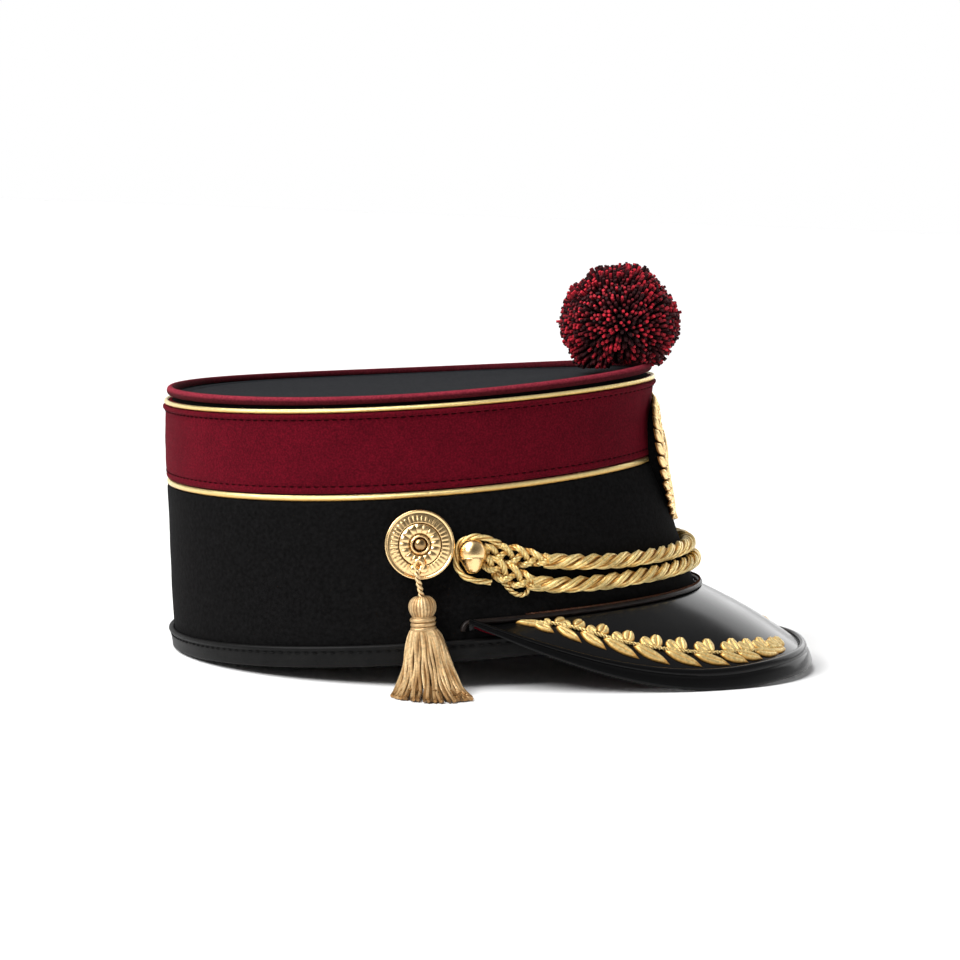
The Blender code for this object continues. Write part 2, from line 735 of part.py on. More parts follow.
def make_tassel_head(gold):
    half = TASSEL_HEAD_LENGTH / 2
    profile = [(share * TASSEL_HEAD_RADIUS, height * half) for share, height in HEAD_PROFILE]
    part = turned("tassel_head", profile, gold, 14)
    part.location = (TASSEL_X, tassel_axis_y(), TASSEL_TOP - half)
    return part


def make_tassel_collar(gold):
    top = TASSEL_TOP - TASSEL_HEAD_LENGTH - GAP
    half = TASSEL_COLLAR_LENGTH / 2
    profile = [(share * TASSEL_COLLAR_RADIUS, height * half) for share, height in COLLAR_PROFILE]
    part = turned("tassel_collar", profile, gold, 14)
    part.location = (TASSEL_X, tassel_axis_y(), top - half)
    return part


def make_tassel_skirt(gold):
    """Strips of fringe fused round a core; it bends outwards and lies along the table."""
    top = TASSEL_TOP - TASSEL_HEAD_LENGTH - TASSEL_COLLAR_LENGTH - 2 * GAP
    start = Vector((TASSEL_X, tassel_axis_y(), top))
    floor = table_height(TASSEL_X) + TASSEL_CLEARANCE
    builder = bmesh.new()
    loops = []
    for stage in SKIRT_STAGES:
        centre = start + Vector((stage.along * TASSEL_DRIFT, -stage.reach * TASSEL_REACH, 0.0))
        half_depth = stage.depth * TASSEL_HALF_DEPTH
        lean = Vector((0.0, -math.cos(stage.along * math.pi / 2), math.sin(stage.along * math.pi / 2)))
        lowest = half_depth * abs(lean.z)
        centre.z = mix(top, floor + lowest, stage.drop)
        loop = []
        for index in range(2 * TASSEL_STRIPS):
            angle = math.pi * index / TASSEL_STRIPS
            ridge = 1.0 if index % 2 == 0 else TASSEL_VALLEY
            across = Vector((1.0, 0.0, 0.0)) * math.cos(angle) * stage.spread * TASSEL_HALF_SPREAD
            through = lean * math.sin(angle) * half_depth
            loop.append(builder.verts.new(centre + (across + through) * ridge))
        loops.append(loop)
    for upper, lower in zip(loops, loops[1:]):
        for index in range(2 * TASSEL_STRIPS):
            after = (index + 1) % (2 * TASSEL_STRIPS)
            builder.faces.new((upper[index], upper[after], lower[after], lower[index]))
    builder.faces.new(loops[0])
    builder.faces.new(loops[-1])
    return add_part("tassel_skirt", finish_bmesh("tassel_skirt", builder), gold)


# Pompom

def make_pompom(yarn):
    """Cut yarn ball in blunt locks, flattened over the crown's edge, with a short stalk to the crown."""
    roll_top = wall_point(0.0, BODY_HEIGHT, 0.0).z
    centre = Vector((POMPOM_X, 0.0, roll_top + POMPOM_CENTRE_ABOVE_ROLL))
    floor = roll_top + GAP
    builder = bmesh.new()
    bmesh.ops.create_icosphere(builder, subdivisions=3, radius=1.0)
    coarse = bmesh.new()
    bmesh.ops.create_icosphere(coarse, subdivisions=2, radius=1.0)
    tops = [vert.co.normalized() for vert in coarse.verts]
    coarse.free()
    for vert in builder.verts:
        way = vert.co.normalized()
        nearest = max(way.dot(top) for top in tops)
        radius = POMPOM_RADIUS * (1.0 if nearest > 0.999 else 1.0 - POMPOM_LOCK_DEPTH)
        vert.co = centre + way * radius
        vert.co.z = max(vert.co.z, floor)
    mesh = bpy.data.meshes.new("pompom")
    builder.to_mesh(mesh)
    builder.free()
    part = add_part("pompom", mesh, yarn)
    stalk_foot = crown_height(POMPOM_X) + GAP
    stalk_top = centre.z
    bpy.ops.mesh.primitive_cylinder_add(
        vertices=12, radius=POMPOM_STALK_RADIUS, depth=stalk_top - stalk_foot,
        location=(POMPOM_X, 0.0, (stalk_top + stalk_foot) / 2))
    stalk = bpy.context.object
    stalk.name = "pompom_stalk"
    hide_cutter(stalk)
    union = part.modifiers.new("stalk", "BOOLEAN")
    union.operation = "UNION"
    union.object = stalk
    return part


def hide_cutter(cutter):
    for collection in list(cutter.users_collection):
        collection.objects.unlink(cutter)
    GUIDES.objects.link(cutter)
    cutter.hide_render = True
    cutter.display_type = "WIRE"


# Leaf work: an outline of a stem with leaves, laid on a surface

def leaf_outline(distance, side, leaf, stem_width):
    """One leaf in (distance along the stem, distance out) terms, in the order back, tip, front."""
    along, out = math.cos(leaf.lean), math.sin(leaf.lean)
    half = leaf.width / leaf.length / 2
    root = stem_width / 2
    spots = [(LEAF_BACK * along, 0.0)]
    spots += [(reach * along - across * out, reach * out + across * along)
              for reach, across in ((LEAF_WIDEST, half), (1.0, 0.0), (LEAF_WIDEST, -half))]
    spots.append((LEAF_FRONT * along, 0.0))
    return [(distance + leaf.length * ahead, side * (root + leaf.length * up)) for ahead, up in spots]


def leaf_reach(leaf, stem_width):
    """How far a leaf passes its own station along the stem."""
    return max(ahead for ahead, _ in leaf_outline(0.0, 1, leaf, stem_width))


def leafy_sheet(name, length, leaves, end_leaf, stem_width, place, thickness, material, mirrored=False):
    """A stem with a leaf at each side of every station; place turns (distance, out) into a point."""
    first = length / len(leaves) / 2
    last = length - max(leaf_reach(leaf, stem_width) for leaf in leaves[-1])
    stations = [mix(first, last, index / (len(leaves) - 1)) for index in range(len(leaves))]
    outline = [(0.0, stem_width / 2)]
    for distance, (leaf, _) in zip(stations, leaves):
        outline += leaf_outline(distance, 1, leaf, stem_width)
    widest = length + LEAF_WIDEST * end_leaf.length
    outline += [(length, stem_width / 2), (widest, end_leaf.width / 2), (length + end_leaf.length, 0.0),
                (widest, -end_leaf.width / 2), (length, -stem_width / 2)]
    for distance, (_, leaf) in reversed(list(zip(stations, leaves))):
        outline += leaf_outline(distance, -1, leaf, stem_width)[::-1]
    outline.append((0.0, -stem_width / 2))
    builder = bmesh.new()
    builder.faces.new([builder.verts.new((distance, out, 0.0)) for distance, out in reversed(outline)])
    builder.normal_update()
    bmesh.ops.triangulate(builder, faces=builder.faces)
    if mirrored:
        bmesh.ops.reverse_faces(builder, faces=builder.faces)
    for vert in builder.verts:
        vert.co = place(vert.co.x, vert.co.y)
    mesh = bpy.data.meshes.new(name)
    builder.to_mesh(mesh)
    builder.free()
    part = add_part(name, mesh, material)
    solidify(part, thickness, even=False)
    return part


def route_frame(path, distance):
    """Place and direction at a distance along a path of flat points."""
    left = distance
    for start, end in zip(path, path[1:]):
        step = (end - start).length
        way = (end - start) / step
        if left <= step:
            return start + way * left, way
        left -= step
    return path[-1], way


def path_length(path):
    return sum((end - start).length for start, end in zip(path, path[1:]))


def peak_moved(turn, share, move):
    """The (turn, share) reached from another by a short move along the peak's face."""
    step = 0.01
    here = peak_point(turn, share)
    by_turn = (peak_point(turn + step, share) - here) / step
    by_share = (peak_point(turn, share + step) - here) / step
    tt, ts, ss = by_turn.dot(by_turn), by_turn.dot(by_share), by_share.dot(by_share)
    mt, ms = move.dot(by_turn), move.dot(by_share)
    scale = tt * ss - ts * ts
    return turn + (mt * ss - ms * ts) / scale, share + (ms * tt - mt * ts) / scale


def eased_share(share):
    """Draws shares near the wall or the rim smoothly inwards, so that no leaf meets either."""
    reach = abs(share - 0.5)
    room = SPRAY_REACH - SPRAY_EASY_REACH
    if reach > SPRAY_EASY_REACH:
        reach = SPRAY_EASY_REACH + room * math.tanh((reach - SPRAY_EASY_REACH) / room)
    return 0.5 + math.copysign(reach, share - 0.5)


def make_leaf_spray(gold, side, side_name):
    route = smooth_path([Vector((turn, share, 0.0)) for turn, share in SPRAY_ROUTE], 6)
    stem = [peak_point(spot.x, spot.y) for spot in route]
    length = path_length(stem)

    def place(distance, out):
        left = min(max(distance, 0.0), length * 0.999)
        for spot, after, start, end in zip(route, route[1:], stem, stem[1:]):
            step = (end - start).length
            if left <= step:
                break
            left -= step
        way = (end - start).normalized()
        spot = spot.lerp(after, left / step)
        across = peak_normal(spot.x, spot.y).cross(way)
        past = distance - min(max(distance, 0.0), length * 0.999)
        turn, share = peak_moved(spot.x, spot.y, across * out + way * past)
        share = eased_share(share)
        found = peak_point(turn, share) + peak_normal(turn, share) * (SPRAY_LIFT + SPRAY_THICKNESS)
        found.y *= -side
        return found

    leaves = [(SPRAY_SMALL_LEAF, SPRAY_SMALL_LEAF)] * SPRAY_SMALL_PAIRS
    leaves += [(SPRAY_UPPER_LEAF, SPRAY_LOWER_LEAF)] * SPRAY_PAIRS
    return leafy_sheet(f"leaf_spray_{side_name}", length, leaves, SPRAY_END_LEAF, SPRAY_STEM_WIDTH, place,
                       SPRAY_THICKNESS, gold, mirrored=side > 0)


def badge_point(across, height, lift=0.0):
    """A point on the badge's face, which bridges the hollow in the front of the wall."""
    foot_x = wall_point(0.0, BADGE_FOOT).x
    top_x = wall_point(0.0, BADGE_TOP).x
    share = (height - BADGE_FOOT) / (BADGE_TOP - BADGE_FOOT)
    face_x = mix(foot_x, top_x, share) + BADGE_STANDOFF + BADGE_BULGE * math.sin(math.pi * share) + lift
    offset = face_x - wall_point(0.0, height).x
    section = section_at(height)
    angle = math.asin(across / (section.half_width * (1 - EGG) + offset))
    place = wall_point(angle, height, offset)
    place.z = height
    return place


def make_badge_wreath(metal):
    """An open wreath: its stem runs from the top left end down round the foot to the top right."""
    middle = (BADGE_FOOT + BADGE_TOP) / 2
    half_height = (BADGE_TOP - BADGE_FOOT) / 2 - BADGE_STEM_INSET
    half_width = BADGE_HALF_WIDTH - BADGE_STEM_INSET
    first, last = math.pi / 2 + BADGE_OPENING, 2.5 * math.pi - BADGE_OPENING
    angles = [mix(first, last, index / ROUND_STEPS) for index in range(ROUND_STEPS + 1)]
    path = [Vector((half_width * math.cos(angle), middle + half_height * math.sin(angle), 0.0))
            for angle in angles]
    length = path_length(path)

    def place(distance, out):
        spot, way = route_frame(path, min(max(distance, 0.0), length * 0.999))
        past = distance - min(max(distance, 0.0), length * 0.999)
        spot = spot + way * past + Vector((-way.y, way.x, 0.0)) * out
        return badge_point(spot.x, spot.y)

    leaves = [(BADGE_INNER_LEAF, BADGE_OUTER_LEAF)] * BADGE_PAIRS
    return leafy_sheet("badge_wreath", length, leaves, BADGE_END_LEAF, BADGE_STEM_WIDTH, place,
                       BADGE_THICKNESS, metal)


def make_badge_centre(metal):
    middle = (BADGE_FOOT + BADGE_TOP) / 2
    face = badge_point(0.0, middle).x - wall_point(0.0, middle).x
    profile = [(share * BADGE_BOSS_RADIUS, face + rise * BADGE_BOSS_DOME)
               for share, rise in BADGE_BOSS_PROFILE]
    profile += [(BADGE_POST_RADIUS, profile[-1][1]), (BADGE_POST_RADIUS, GAP), (0.0, GAP)]
    part = turned("badge_centre", profile, metal, 20)
    step = 1.0 * MM
    up = wall_point(0.0, middle + step) - wall_point(0.0, middle - step)
    outward = Vector((0.0, 1.0, 0.0)).cross(up).normalized()
    part.matrix_world = axis_matrix(wall_point(0.0, middle), outward, Vector((0.0, 1.0, 0.0)))
    return part


# Resting pose

def rest_tilt():
    """Angle at which the hat tips back until its peak's rim meets the table."""
    back = FOOT_LENGTH / 2
    feet = [rim_foot(turn) for turn in peak_turns()]
    return max(math.atan2(-foot.z, foot.x + back) for foot in feet)


def table_height(x):
    """Height of the table in the hat's own frame, below the point x."""
    return -(x + FOOT_LENGTH / 2) * math.tan(rest_tilt())


def rest_on_table():
    """Hang every piece from one empty, tip it, and set it down with its middle over the origin."""
    rest = bpy.data.objects.new("hat_rest", None)
    PARTS.objects.link(rest)
    loose = [item for item in list(PARTS.objects) + list(GUIDES.objects) if item is not rest and not item.parent]
    for item in loose:
        item.parent = rest
    rest.rotation_euler = (0.0, -rest_tilt(), 0.0)
    bpy.context.view_layer.update()
    graph = bpy.context.evaluated_depsgraph_get()
    corners = []
    for item in PARTS.objects:
        if item.type == "EMPTY":
            continue
        shape = item.evaluated_get(graph)
        mesh = shape.to_mesh()
        corners += [shape.matrix_world @ vert.co for vert in mesh.vertices]
        shape.to_mesh_clear()
    low = Vector([min(corner[axis] for corner in corners) for axis in range(3)])
    high = Vector([max(corner[axis] for corner in corners) for axis in range(3)])
    rest.location = (-(low.x + high.x) / 2, -(low.y + high.y) / 2, -low.z)


def build():
    clear_scene()
    felt = make_material("black_felt", (0.010, 0.010, 0.011), 0.9)
    leather = make_material("black_leather", (0.012, 0.012, 0.012), 0.45)
    patent = make_material("patent_leather", (0.006, 0.006, 0.007), 0.12)
    wool = make_material("burgundy_wool", (0.12, 0.006, 0.018), 0.8)
    gold = make_material("gold_cord", (0.80, 0.52, 0.20), 0.38, 0.7)
    metal = make_material("gilt_metal", (0.83, 0.62, 0.36), 0.22, 1.0)
    yarn = make_material("red_yarn", (0.20, 0.006, 0.020), 0.95)

    make_body_wall(felt)
    make_crown_top(felt)
    make_base_band(leather)
    make_burgundy_band(wool)
    make_rings(wool, gold)
    make_peak(patent, wool)
    make_peak_rim(patent)
    make_peak_trim(leather)
    make_cords(gold)
    for side, side_name in ((-1, "right"), (1, "left")):
        make_knots(gold, side, side_name)
        make_slide(metal, side, side_name)
        make_strand(gold, side, side_name)
        make_button(metal, side, side_name)
        make_leaf_spray(gold, side, side_name)
    make_badge_wreath(metal)
    make_badge_centre(metal)
    make_tassel_cord(gold)
    make_tassel_head(gold)
    make_tassel_collar(gold)
    make_tassel_skirt(gold)
    make_pompom(yarn)
    rest_on_table()


build()
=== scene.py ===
"""Looks of the uniform hat: cloth, patent leather, twisted gold rope, tassel, leaf work and pompom.

Every piece is made in millimetres in the hat's own upright frame (x forward, y to the wearer's left,
z up, foot at z = 0). Shape.make turns it into metres and tips it with the hat, as it rests on the table.
"""
import math

import bpy
import numpy as np
from mathutils import Matrix


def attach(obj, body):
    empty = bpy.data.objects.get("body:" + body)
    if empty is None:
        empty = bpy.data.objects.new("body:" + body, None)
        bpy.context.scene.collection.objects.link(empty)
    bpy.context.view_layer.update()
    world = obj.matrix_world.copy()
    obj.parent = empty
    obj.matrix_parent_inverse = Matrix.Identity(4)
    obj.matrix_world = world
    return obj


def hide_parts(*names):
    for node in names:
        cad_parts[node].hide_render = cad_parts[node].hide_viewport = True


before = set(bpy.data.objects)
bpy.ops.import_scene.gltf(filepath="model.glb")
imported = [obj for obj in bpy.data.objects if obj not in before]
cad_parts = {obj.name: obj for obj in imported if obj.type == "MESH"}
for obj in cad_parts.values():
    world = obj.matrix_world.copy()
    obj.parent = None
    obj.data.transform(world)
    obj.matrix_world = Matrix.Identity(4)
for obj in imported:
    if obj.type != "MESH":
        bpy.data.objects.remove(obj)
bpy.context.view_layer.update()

MM = 0.001
TAU = math.tau
FORWARD, LEFT, UP = (1.0, 0.0, 0.0), (0.0, 1.0, 0.0), (0.0, 0.0, 1.0)
FLAT = (1.0, 1.0, 0.0)  # times a place: the same place at height 0

# Resting pose of the hat, in radians and metres
REST_TILT = 0.08612604
REST_PLACE = (-0.0185422, 0.0148781, 0.0092485)
HAT = Matrix.Translation(REST_PLACE) @ Matrix.Rotation(-REST_TILT, 4, "Y")

# Body of the hat
FOOT_LENGTH = 213.0
FOOT_WIDTH = 178.2
BODY_HEIGHT = 100.2
EGG = 0.14
# Rows of height, half length, half width, shift and end rise: heights and rises are shares of the
# body's height, the others are shares of half the foot's length or width
SECTIONS = np.array((
    (0.000, 0.986, 0.983, 0.000, 0.000),
    (0.090, 0.990, 0.984, 0.000, -0.005),
    (0.180, 0.973, 0.969, -0.018, 0.002),
    (0.623, 0.910, 0.902, -0.074, 0.033),
    (0.798, 0.903, 0.896, -0.077, 0.026),
    (0.950, 0.910, 0.902, -0.060, 0.018),
    (1.000, 0.910, 0.901, -0.060, 0.028),
))
WALL = 2.0
SEAM_INSET = 2.6
UPPER_PIPING = 95.2
LOWER_PIPING = 62.4
WALL_TOP = 95.9
CROWN_RISE, CROWN_INSET, CROWN_THICKNESS = 2.05, 3.9, 1.5

RNG = np.random.default_rng(7)


# Surfaces

def smoothed_sections():
    """The section table in mm on a fine grid of heights, with its corners eased."""
    heights = np.linspace(0.0, 1.0, 401)
    reach = 14
    kernel = np.hanning(2 * reach + 1)
    kernel /= kernel.sum()
    scales = (FOOT_LENGTH / 2, FOOT_WIDTH / 2, FOOT_LENGTH / 2, BODY_HEIGHT)
    rows = []
    for column, scale in zip(SECTIONS.T[1:], scales):
        row = np.pad(np.interp(heights, SECTIONS[:, 0], column), reach, "reflect", reflect_type="odd")
        rows.append(np.convolve(row, kernel, "valid") * scale)
    return heights * BODY_HEIGHT, rows


SECTION_HEIGHTS, SECTION_ROWS = smoothed_sections()


def xyz(*parts):
    """Places from their x, y and z, each an array or a number."""
    return np.stack(np.broadcast_arrays(*parts), -1)


def section(height):
    """Half length, half width, shift and end rise of the wall at a height."""
    return [np.interp(height, SECTION_HEIGHTS, row) for row in SECTION_ROWS]


def wall(angle, height, offset=0.0):
    """Points on the wall; angle 0 is the front and a quarter turn the left side."""
    length, width, shift, rise = section(height)
    ahead = np.cos(angle)
    x = (length + offset) * ahead + shift
    y = (width * (1 - EGG * ahead) + offset) * np.sin(angle)
    return xyz(x, y, height + rise * ahead ** 2)


def wall_angle(x, height, offset=0.0):
    length, _, shift, _ = section(height)
    return np.arccos(np.clip((x - shift) / (length + offset), -1.0, 1.0))


def side_point(x, height, offset, side):
    """Places beside the wall at chosen x and exact height; side is 1 for the left, -1 for the right."""
    points = wall(side * wall_angle(x, height, offset), height, offset)
    points[..., 2] = height
    return points


def side_place(x, height, offset, side):
    """A single place beside the wall, as in side_point."""
    return side_point(np.array([x]), height, offset, side)[0]


def round_angles(steps):
    return np.arange(steps) * TAU / steps


# Building meshes

def unit(vectors):
    return vectors / np.maximum(np.linalg.norm(vectors, axis=-1, keepdims=True), 1e-12)


def spans(points, closed):
    """Running length along the first axis of a grid of points."""
    ring = np.concatenate((points, points[:1])) if closed else points
    steps = np.linalg.norm(np.diff(ring, axis=0), axis=-1).mean(axis=1)
    return np.concatenate(((0.0,), np.cumsum(steps)))


class Shape:
    """The points and faces of one piece, in the hat's own frame."""

    def __init__(self):
        self.points, self.tones, self.loops, self.sizes, self.uvs = [], [], [], [], []
        self.count = 0

    def grid(self, points, around=False, along=False, caps=False, tone=0.5):
        """Faces between rows of points; around closes each row, along joins the last row to the first."""
        rows, columns = points.shape[:2]
        index = self.count + np.arange(rows * columns).reshape(rows, columns)
        ends = (index[0, ::-1], index[-1])
        if along:
            index = np.vstack((index, index[:1]))
        if around:
            index = np.hstack((index, index[:, :1]))
        v, u = spans(points, along), spans(np.swapaxes(points, 0, 1), around)
        uv = np.stack(np.broadcast_arrays(u[None, :], v[:, None]), -1)
        corners = (slice(None, -1), slice(None, -1)), (slice(None, -1), slice(1, None)), \
            (slice(1, None), slice(1, None)), (slice(1, None), slice(None, -1))
        quads = np.stack([index[corner] for corner in corners], -1).reshape(-1, 4)
        self.loops.append(quads.ravel())
        self.sizes.append(np.full(len(quads), 4))
        self.uvs.append(np.stack([uv[corner] for corner in corners], 2).reshape(-1, 2))
        if caps:
            for end in ends:
                self.loops.append(end)
                self.sizes.append(np.array([columns]))
                self.uvs.append(np.zeros((columns, 2)))
        self.points.append(points.reshape(-1, 3))
        self.tones.append(np.broadcast_to(tone, (rows, columns)).ravel())
        self.count += rows * columns

    def tube(self, path, radius, sides, ref, closed=False, tone=0.5):
        """A round bar along a path; ref is a direction, or one for each point, that it is framed from.

        tone is a number, one for each point of the path, or a function of the bar's points.
        """
        _, side, up = directions(path, ref, closed)
        angle = round_angles(sides)
        radius = np.broadcast_to(radius, len(path))[:, None, None]
        ring = np.cos(angle)[None, :, None] * side[:, None] + np.sin(angle)[None, :, None] * up[:, None]
        points = path[:, None] + radius * ring
        tone = tone(points) if callable(tone) else np.broadcast_to(tone, len(path))[:, None]
        self.grid(points, around=True, along=closed, caps=not closed, tone=tone)

    def make(self, name, material, replaces=(), sharp=50.0):
        """The finished piece: tipped with the hat, on its body and in place of its nodes."""
        mesh = bpy.data.meshes.new(name)
        points = np.concatenate(self.points) * MM @ np.array(HAT.to_3x3()).T + np.array(HAT.translation)
        loops, sizes = np.concatenate(self.loops), np.concatenate(self.sizes)
        mesh.vertices.add(len(points))
        mesh.vertices.foreach_set("co", points.ravel())
        mesh.loops.add(len(loops))
        mesh.loops.foreach_set("vertex_index", loops.astype(np.int32))
        mesh.polygons.add(len(sizes))
        mesh.polygons.foreach_set("loop_start", (np.cumsum(sizes) - sizes).astype(np.int32))
        mesh.materials.append(material)
        mesh.update(calc_edges=True)
        mesh.uv_layers.new(name="UVMap").data.foreach_set("uv", np.concatenate(self.uvs).ravel())
        tone = mesh.attributes.new("tone", "FLOAT", "POINT")
        tone.data.foreach_set("value", np.concatenate(self.tones).astype(np.float32))
        mesh.validate()
        mesh.shade_smooth()
        mesh.set_sharp_from_angle(angle=math.radians(sharp))
        piece = bpy.data.objects.new(name, mesh)
        bpy.context.scene.collection.objects.link(piece)
        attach(piece, "root")
        if replaces:
            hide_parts(*replaces)
        return piece


def directions(path, ref, closed=False):
    """Along, side (nearest to ref) and up directions at each point of a path."""
    if closed:
        way = np.roll(path, -1, axis=0) - np.roll(path, 1, axis=0)
    else:
        way = np.gradient(path, axis=0)
    way = unit(way)
    ref = np.broadcast_to(ref, path.shape)
    side = unit(ref - (ref * way).sum(-1, keepdims=True) * way)
    return way, side, np.cross(way, side)


def arc(path):
    return np.concatenate(((0.0,), np.cumsum(np.linalg.norm(np.diff(path, axis=0), axis=1))))


def along(path, places):
    """Points at chosen running lengths of a path."""
    length = arc(path)
    return np.stack([np.interp(places, length, path[:, axis]) for axis in range(3)], -1)


def resample(path, count):
    return along(path, np.linspace(0.0, arc(path)[-1], count))


def smooth_path(points, count):
    """Catmull-Rom curve through chosen points, evenly spaced."""
    points = np.asarray(points, float)
    ends = np.vstack((2 * points[0] - points[1], points, 2 * points[-1] - points[-2]))
    t = np.linspace(0.0, 1.0, 12, endpoint=False)[:, None]
    spots = []
    for before, start, end, after in zip(ends, ends[1:], ends[2:], ends[3:]):
        spots.append(0.5 * (2 * start + (end - before) * t
                            + (2 * before - 5 * start + 4 * end - after) * t ** 2
                            + (3 * start - before - 3 * end + after) * t ** 3))
    return resample(np.vstack((*spots, points[-1:])), count)


def helix(path, ref, radius, pitch, phase):
    _, side, up = directions(path, ref)
    turn = (phase + TAU * arc(path) / pitch)[:, None]
    return path + np.reshape(radius, (-1, 1)) * (np.cos(turn) * side + np.sin(turn) * up)


def bundle_radius(radius, strands):
    """Radius of each of several round strands that fill a round rope."""
    return radius / (1 + 1 / math.sin(math.pi / strands))


def twisted(shape, path, ref, radius, pitch, strands=3, plies=1, ply_pitch=7, sides=7):
    """A rope of twisted strands, each of twisted plies; its tone falls off towards the grooves, as painted
    shade.
    """
    # Painted shade: points nearer the rope's middle are given lower tones.
    def tone(points):
        reach = np.linalg.norm(points - path[:, None], axis=-1) / radius
        return np.clip((reach - 0.38) / 0.48, 0.0, 1.0)
    strand_radius = bundle_radius(radius, strands) * 1.04
    for index in range(strands):
        strand = helix(path, ref, radius - strand_radius, pitch, TAU * index / strands)
        ply_up(shape, strand, strand - path, strand_radius, ply_pitch, plies, sides, tone)


def ply_up(shape, strand, ref, strand_radius, ply_pitch, plies, sides, tone=0.6):
    """One strand: a plain bar, or a core with plies laid round it."""
    if plies == 1:
        shape.tube(strand, strand_radius, sides, ref, tone=tone)
        return
    ply_radius = bundle_radius(strand_radius, plies) * 1.10
    shape.tube(strand, strand_radius - 1.5 * ply_radius, 4, ref, tone=tone)
    for ply in range(plies):
        thread = helix(strand, ref, strand_radius - ply_radius, ply_pitch, TAU * ply / plies)
        shape.tube(thread, ply_radius, sides, thread - strand, tone=tone)


def stitches(shape, path, ref, length, gap, radius):
    """Short threads that dip into the cloth at both ends; ref holds the outward direction at each point."""
    total = arc(path)[-1]
    count = int(total / (length + gap))
    share = np.array((0.0, 0.18, 0.5, 0.82, 1.0))
    height = np.array((-1.0, 0.3, 0.7, 0.3, -1.0)) * radius
    size = np.array((0.55, 0.95, 1.0, 0.95, 0.55)) * radius
    for index in range(count):
        places = total * index / count + length * share
        spots = along(path, places)
        outward = along(ref, np.interp(places, arc(path), arc(ref)))
        shape.tube(spots + height[:, None] * unit(outward), size, 5, outward)


# Materials

class Nodes:
    """Short calls for building one material's nodes."""

    def __init__(self, name, colour, roughness, metallic=0.0, **sockets):
        self.material = bpy.data.materials.new(name)
        self.material.use_nodes = True
        self.tree = self.material.node_tree
        self.shader = self.tree.nodes["Principled BSDF"]
        self.shader.inputs["Base Color"].default_value = (*colour, 1.0)
        self.shader.inputs["Roughness"].default_value = roughness
        self.shader.inputs["Metallic"].default_value = metallic
        for label, value in sockets.items():
            self.shader.inputs[label.replace("_", " ").title().replace("Ior", "IOR")].default_value = value

    def feed(self, socket, value):
        """Link another node's output to a socket, or set the socket to a plain value."""
        if isinstance(value, bpy.types.NodeSocket):
            self.tree.links.new(value, socket)
        else:
            socket.default_value = value

    def add(self, kind, settings=None, **inputs):
        node = self.tree.nodes.new(f"ShaderNode{kind}")
        for label, value in (settings or {}).items():
            setattr(node, label, value)
        for label, value in inputs.items():
            self.feed(node.inputs[label.title()], value)
        return node

    def place(self, uv=False):
        return self.add("TexCoord").outputs["UV" if uv else "Object"]

    def noise(self, scale, detail):
        return self.add("TexNoise", vector=self.place(), scale=scale, detail=detail).outputs["Fac"]

    def ramp(self, factor, stops):
        """Colours or greys between chosen spots of a factor."""
        node = self.add("ValToRGB", fac=factor)
        bar = node.color_ramp.elements
        while len(bar) < len(stops):
            bar.new(0.5)
        for element, (spot, colour) in zip(bar, stops):
            element.position = spot
            element.color = (*colour, 1.0) if isinstance(colour, tuple) else (colour, colour, colour, 1.0)
        return node.outputs["Color"]

    def patchy(self, scale, detail, low, high):
        """A ramp over noise, from two (spot, colour) stops."""
        return self.ramp(self.noise(scale, detail), (low, high))

    def multiply(self, first, second):
        """The product of two colours."""
        node = self.add("Mix", {"data_type": "RGBA", "blend_type": "MULTIPLY"}, factor=1.0)
        colours = [socket for socket in node.inputs if socket.type == "RGBA"]
        self.feed(colours[0], first)
        self.feed(colours[1], second)
        return next(socket for socket in node.outputs if socket.type == "RGBA")

    def tone(self):
        return self.add("Attribute", {"attribute_name": "tone"}).outputs["Fac"]

    def colour(self, socket):
        self.feed(self.shader.inputs["Base Color"], socket)

    def roughness(self, socket):
        self.feed(self.shader.inputs["Roughness"], socket)

    def bump(self, height, distance, strength, below=None):
        """Relief of a depth in metres, laid over the relief below it if there is one."""
        node = self.add("Bump", height=height, distance=distance, strength=strength)
        if below:
            self.feed(node.inputs["Normal"], below)
        self.feed(self.shader.inputs["Normal"], node.outputs["Normal"])
        return node.outputs["Normal"]

    def ridges(self, degrees, scale, distortion, detail):
        """Parallel ridges over the UV map, which is in mm."""
        turn = self.add("Mapping", vector=self.place(uv=True), rotation=(0, 0, math.radians(degrees)))
        return self.add("TexWave", {"wave_type": "BANDS"}, vector=turn.outputs["Vector"], scale=scale,
                        distortion=distortion, detail=detail).outputs["Fac"]


def felt_material(name, dark, light):
    nodes = Nodes(name, dark, 0.95, specular_ior_level=0.04, sheen_weight=0.01, sheen_roughness=0.4)
    nodes.colour(nodes.patchy(700.0, 6.0, (0.3, dark), (0.75, light)))
    coarse = nodes.bump(nodes.noise(420.0, 4.0), 0.25 * MM, 0.5)
    nodes.bump(nodes.noise(2600.0, 2.0), 0.12 * MM, 0.8, coarse)
    return nodes.material


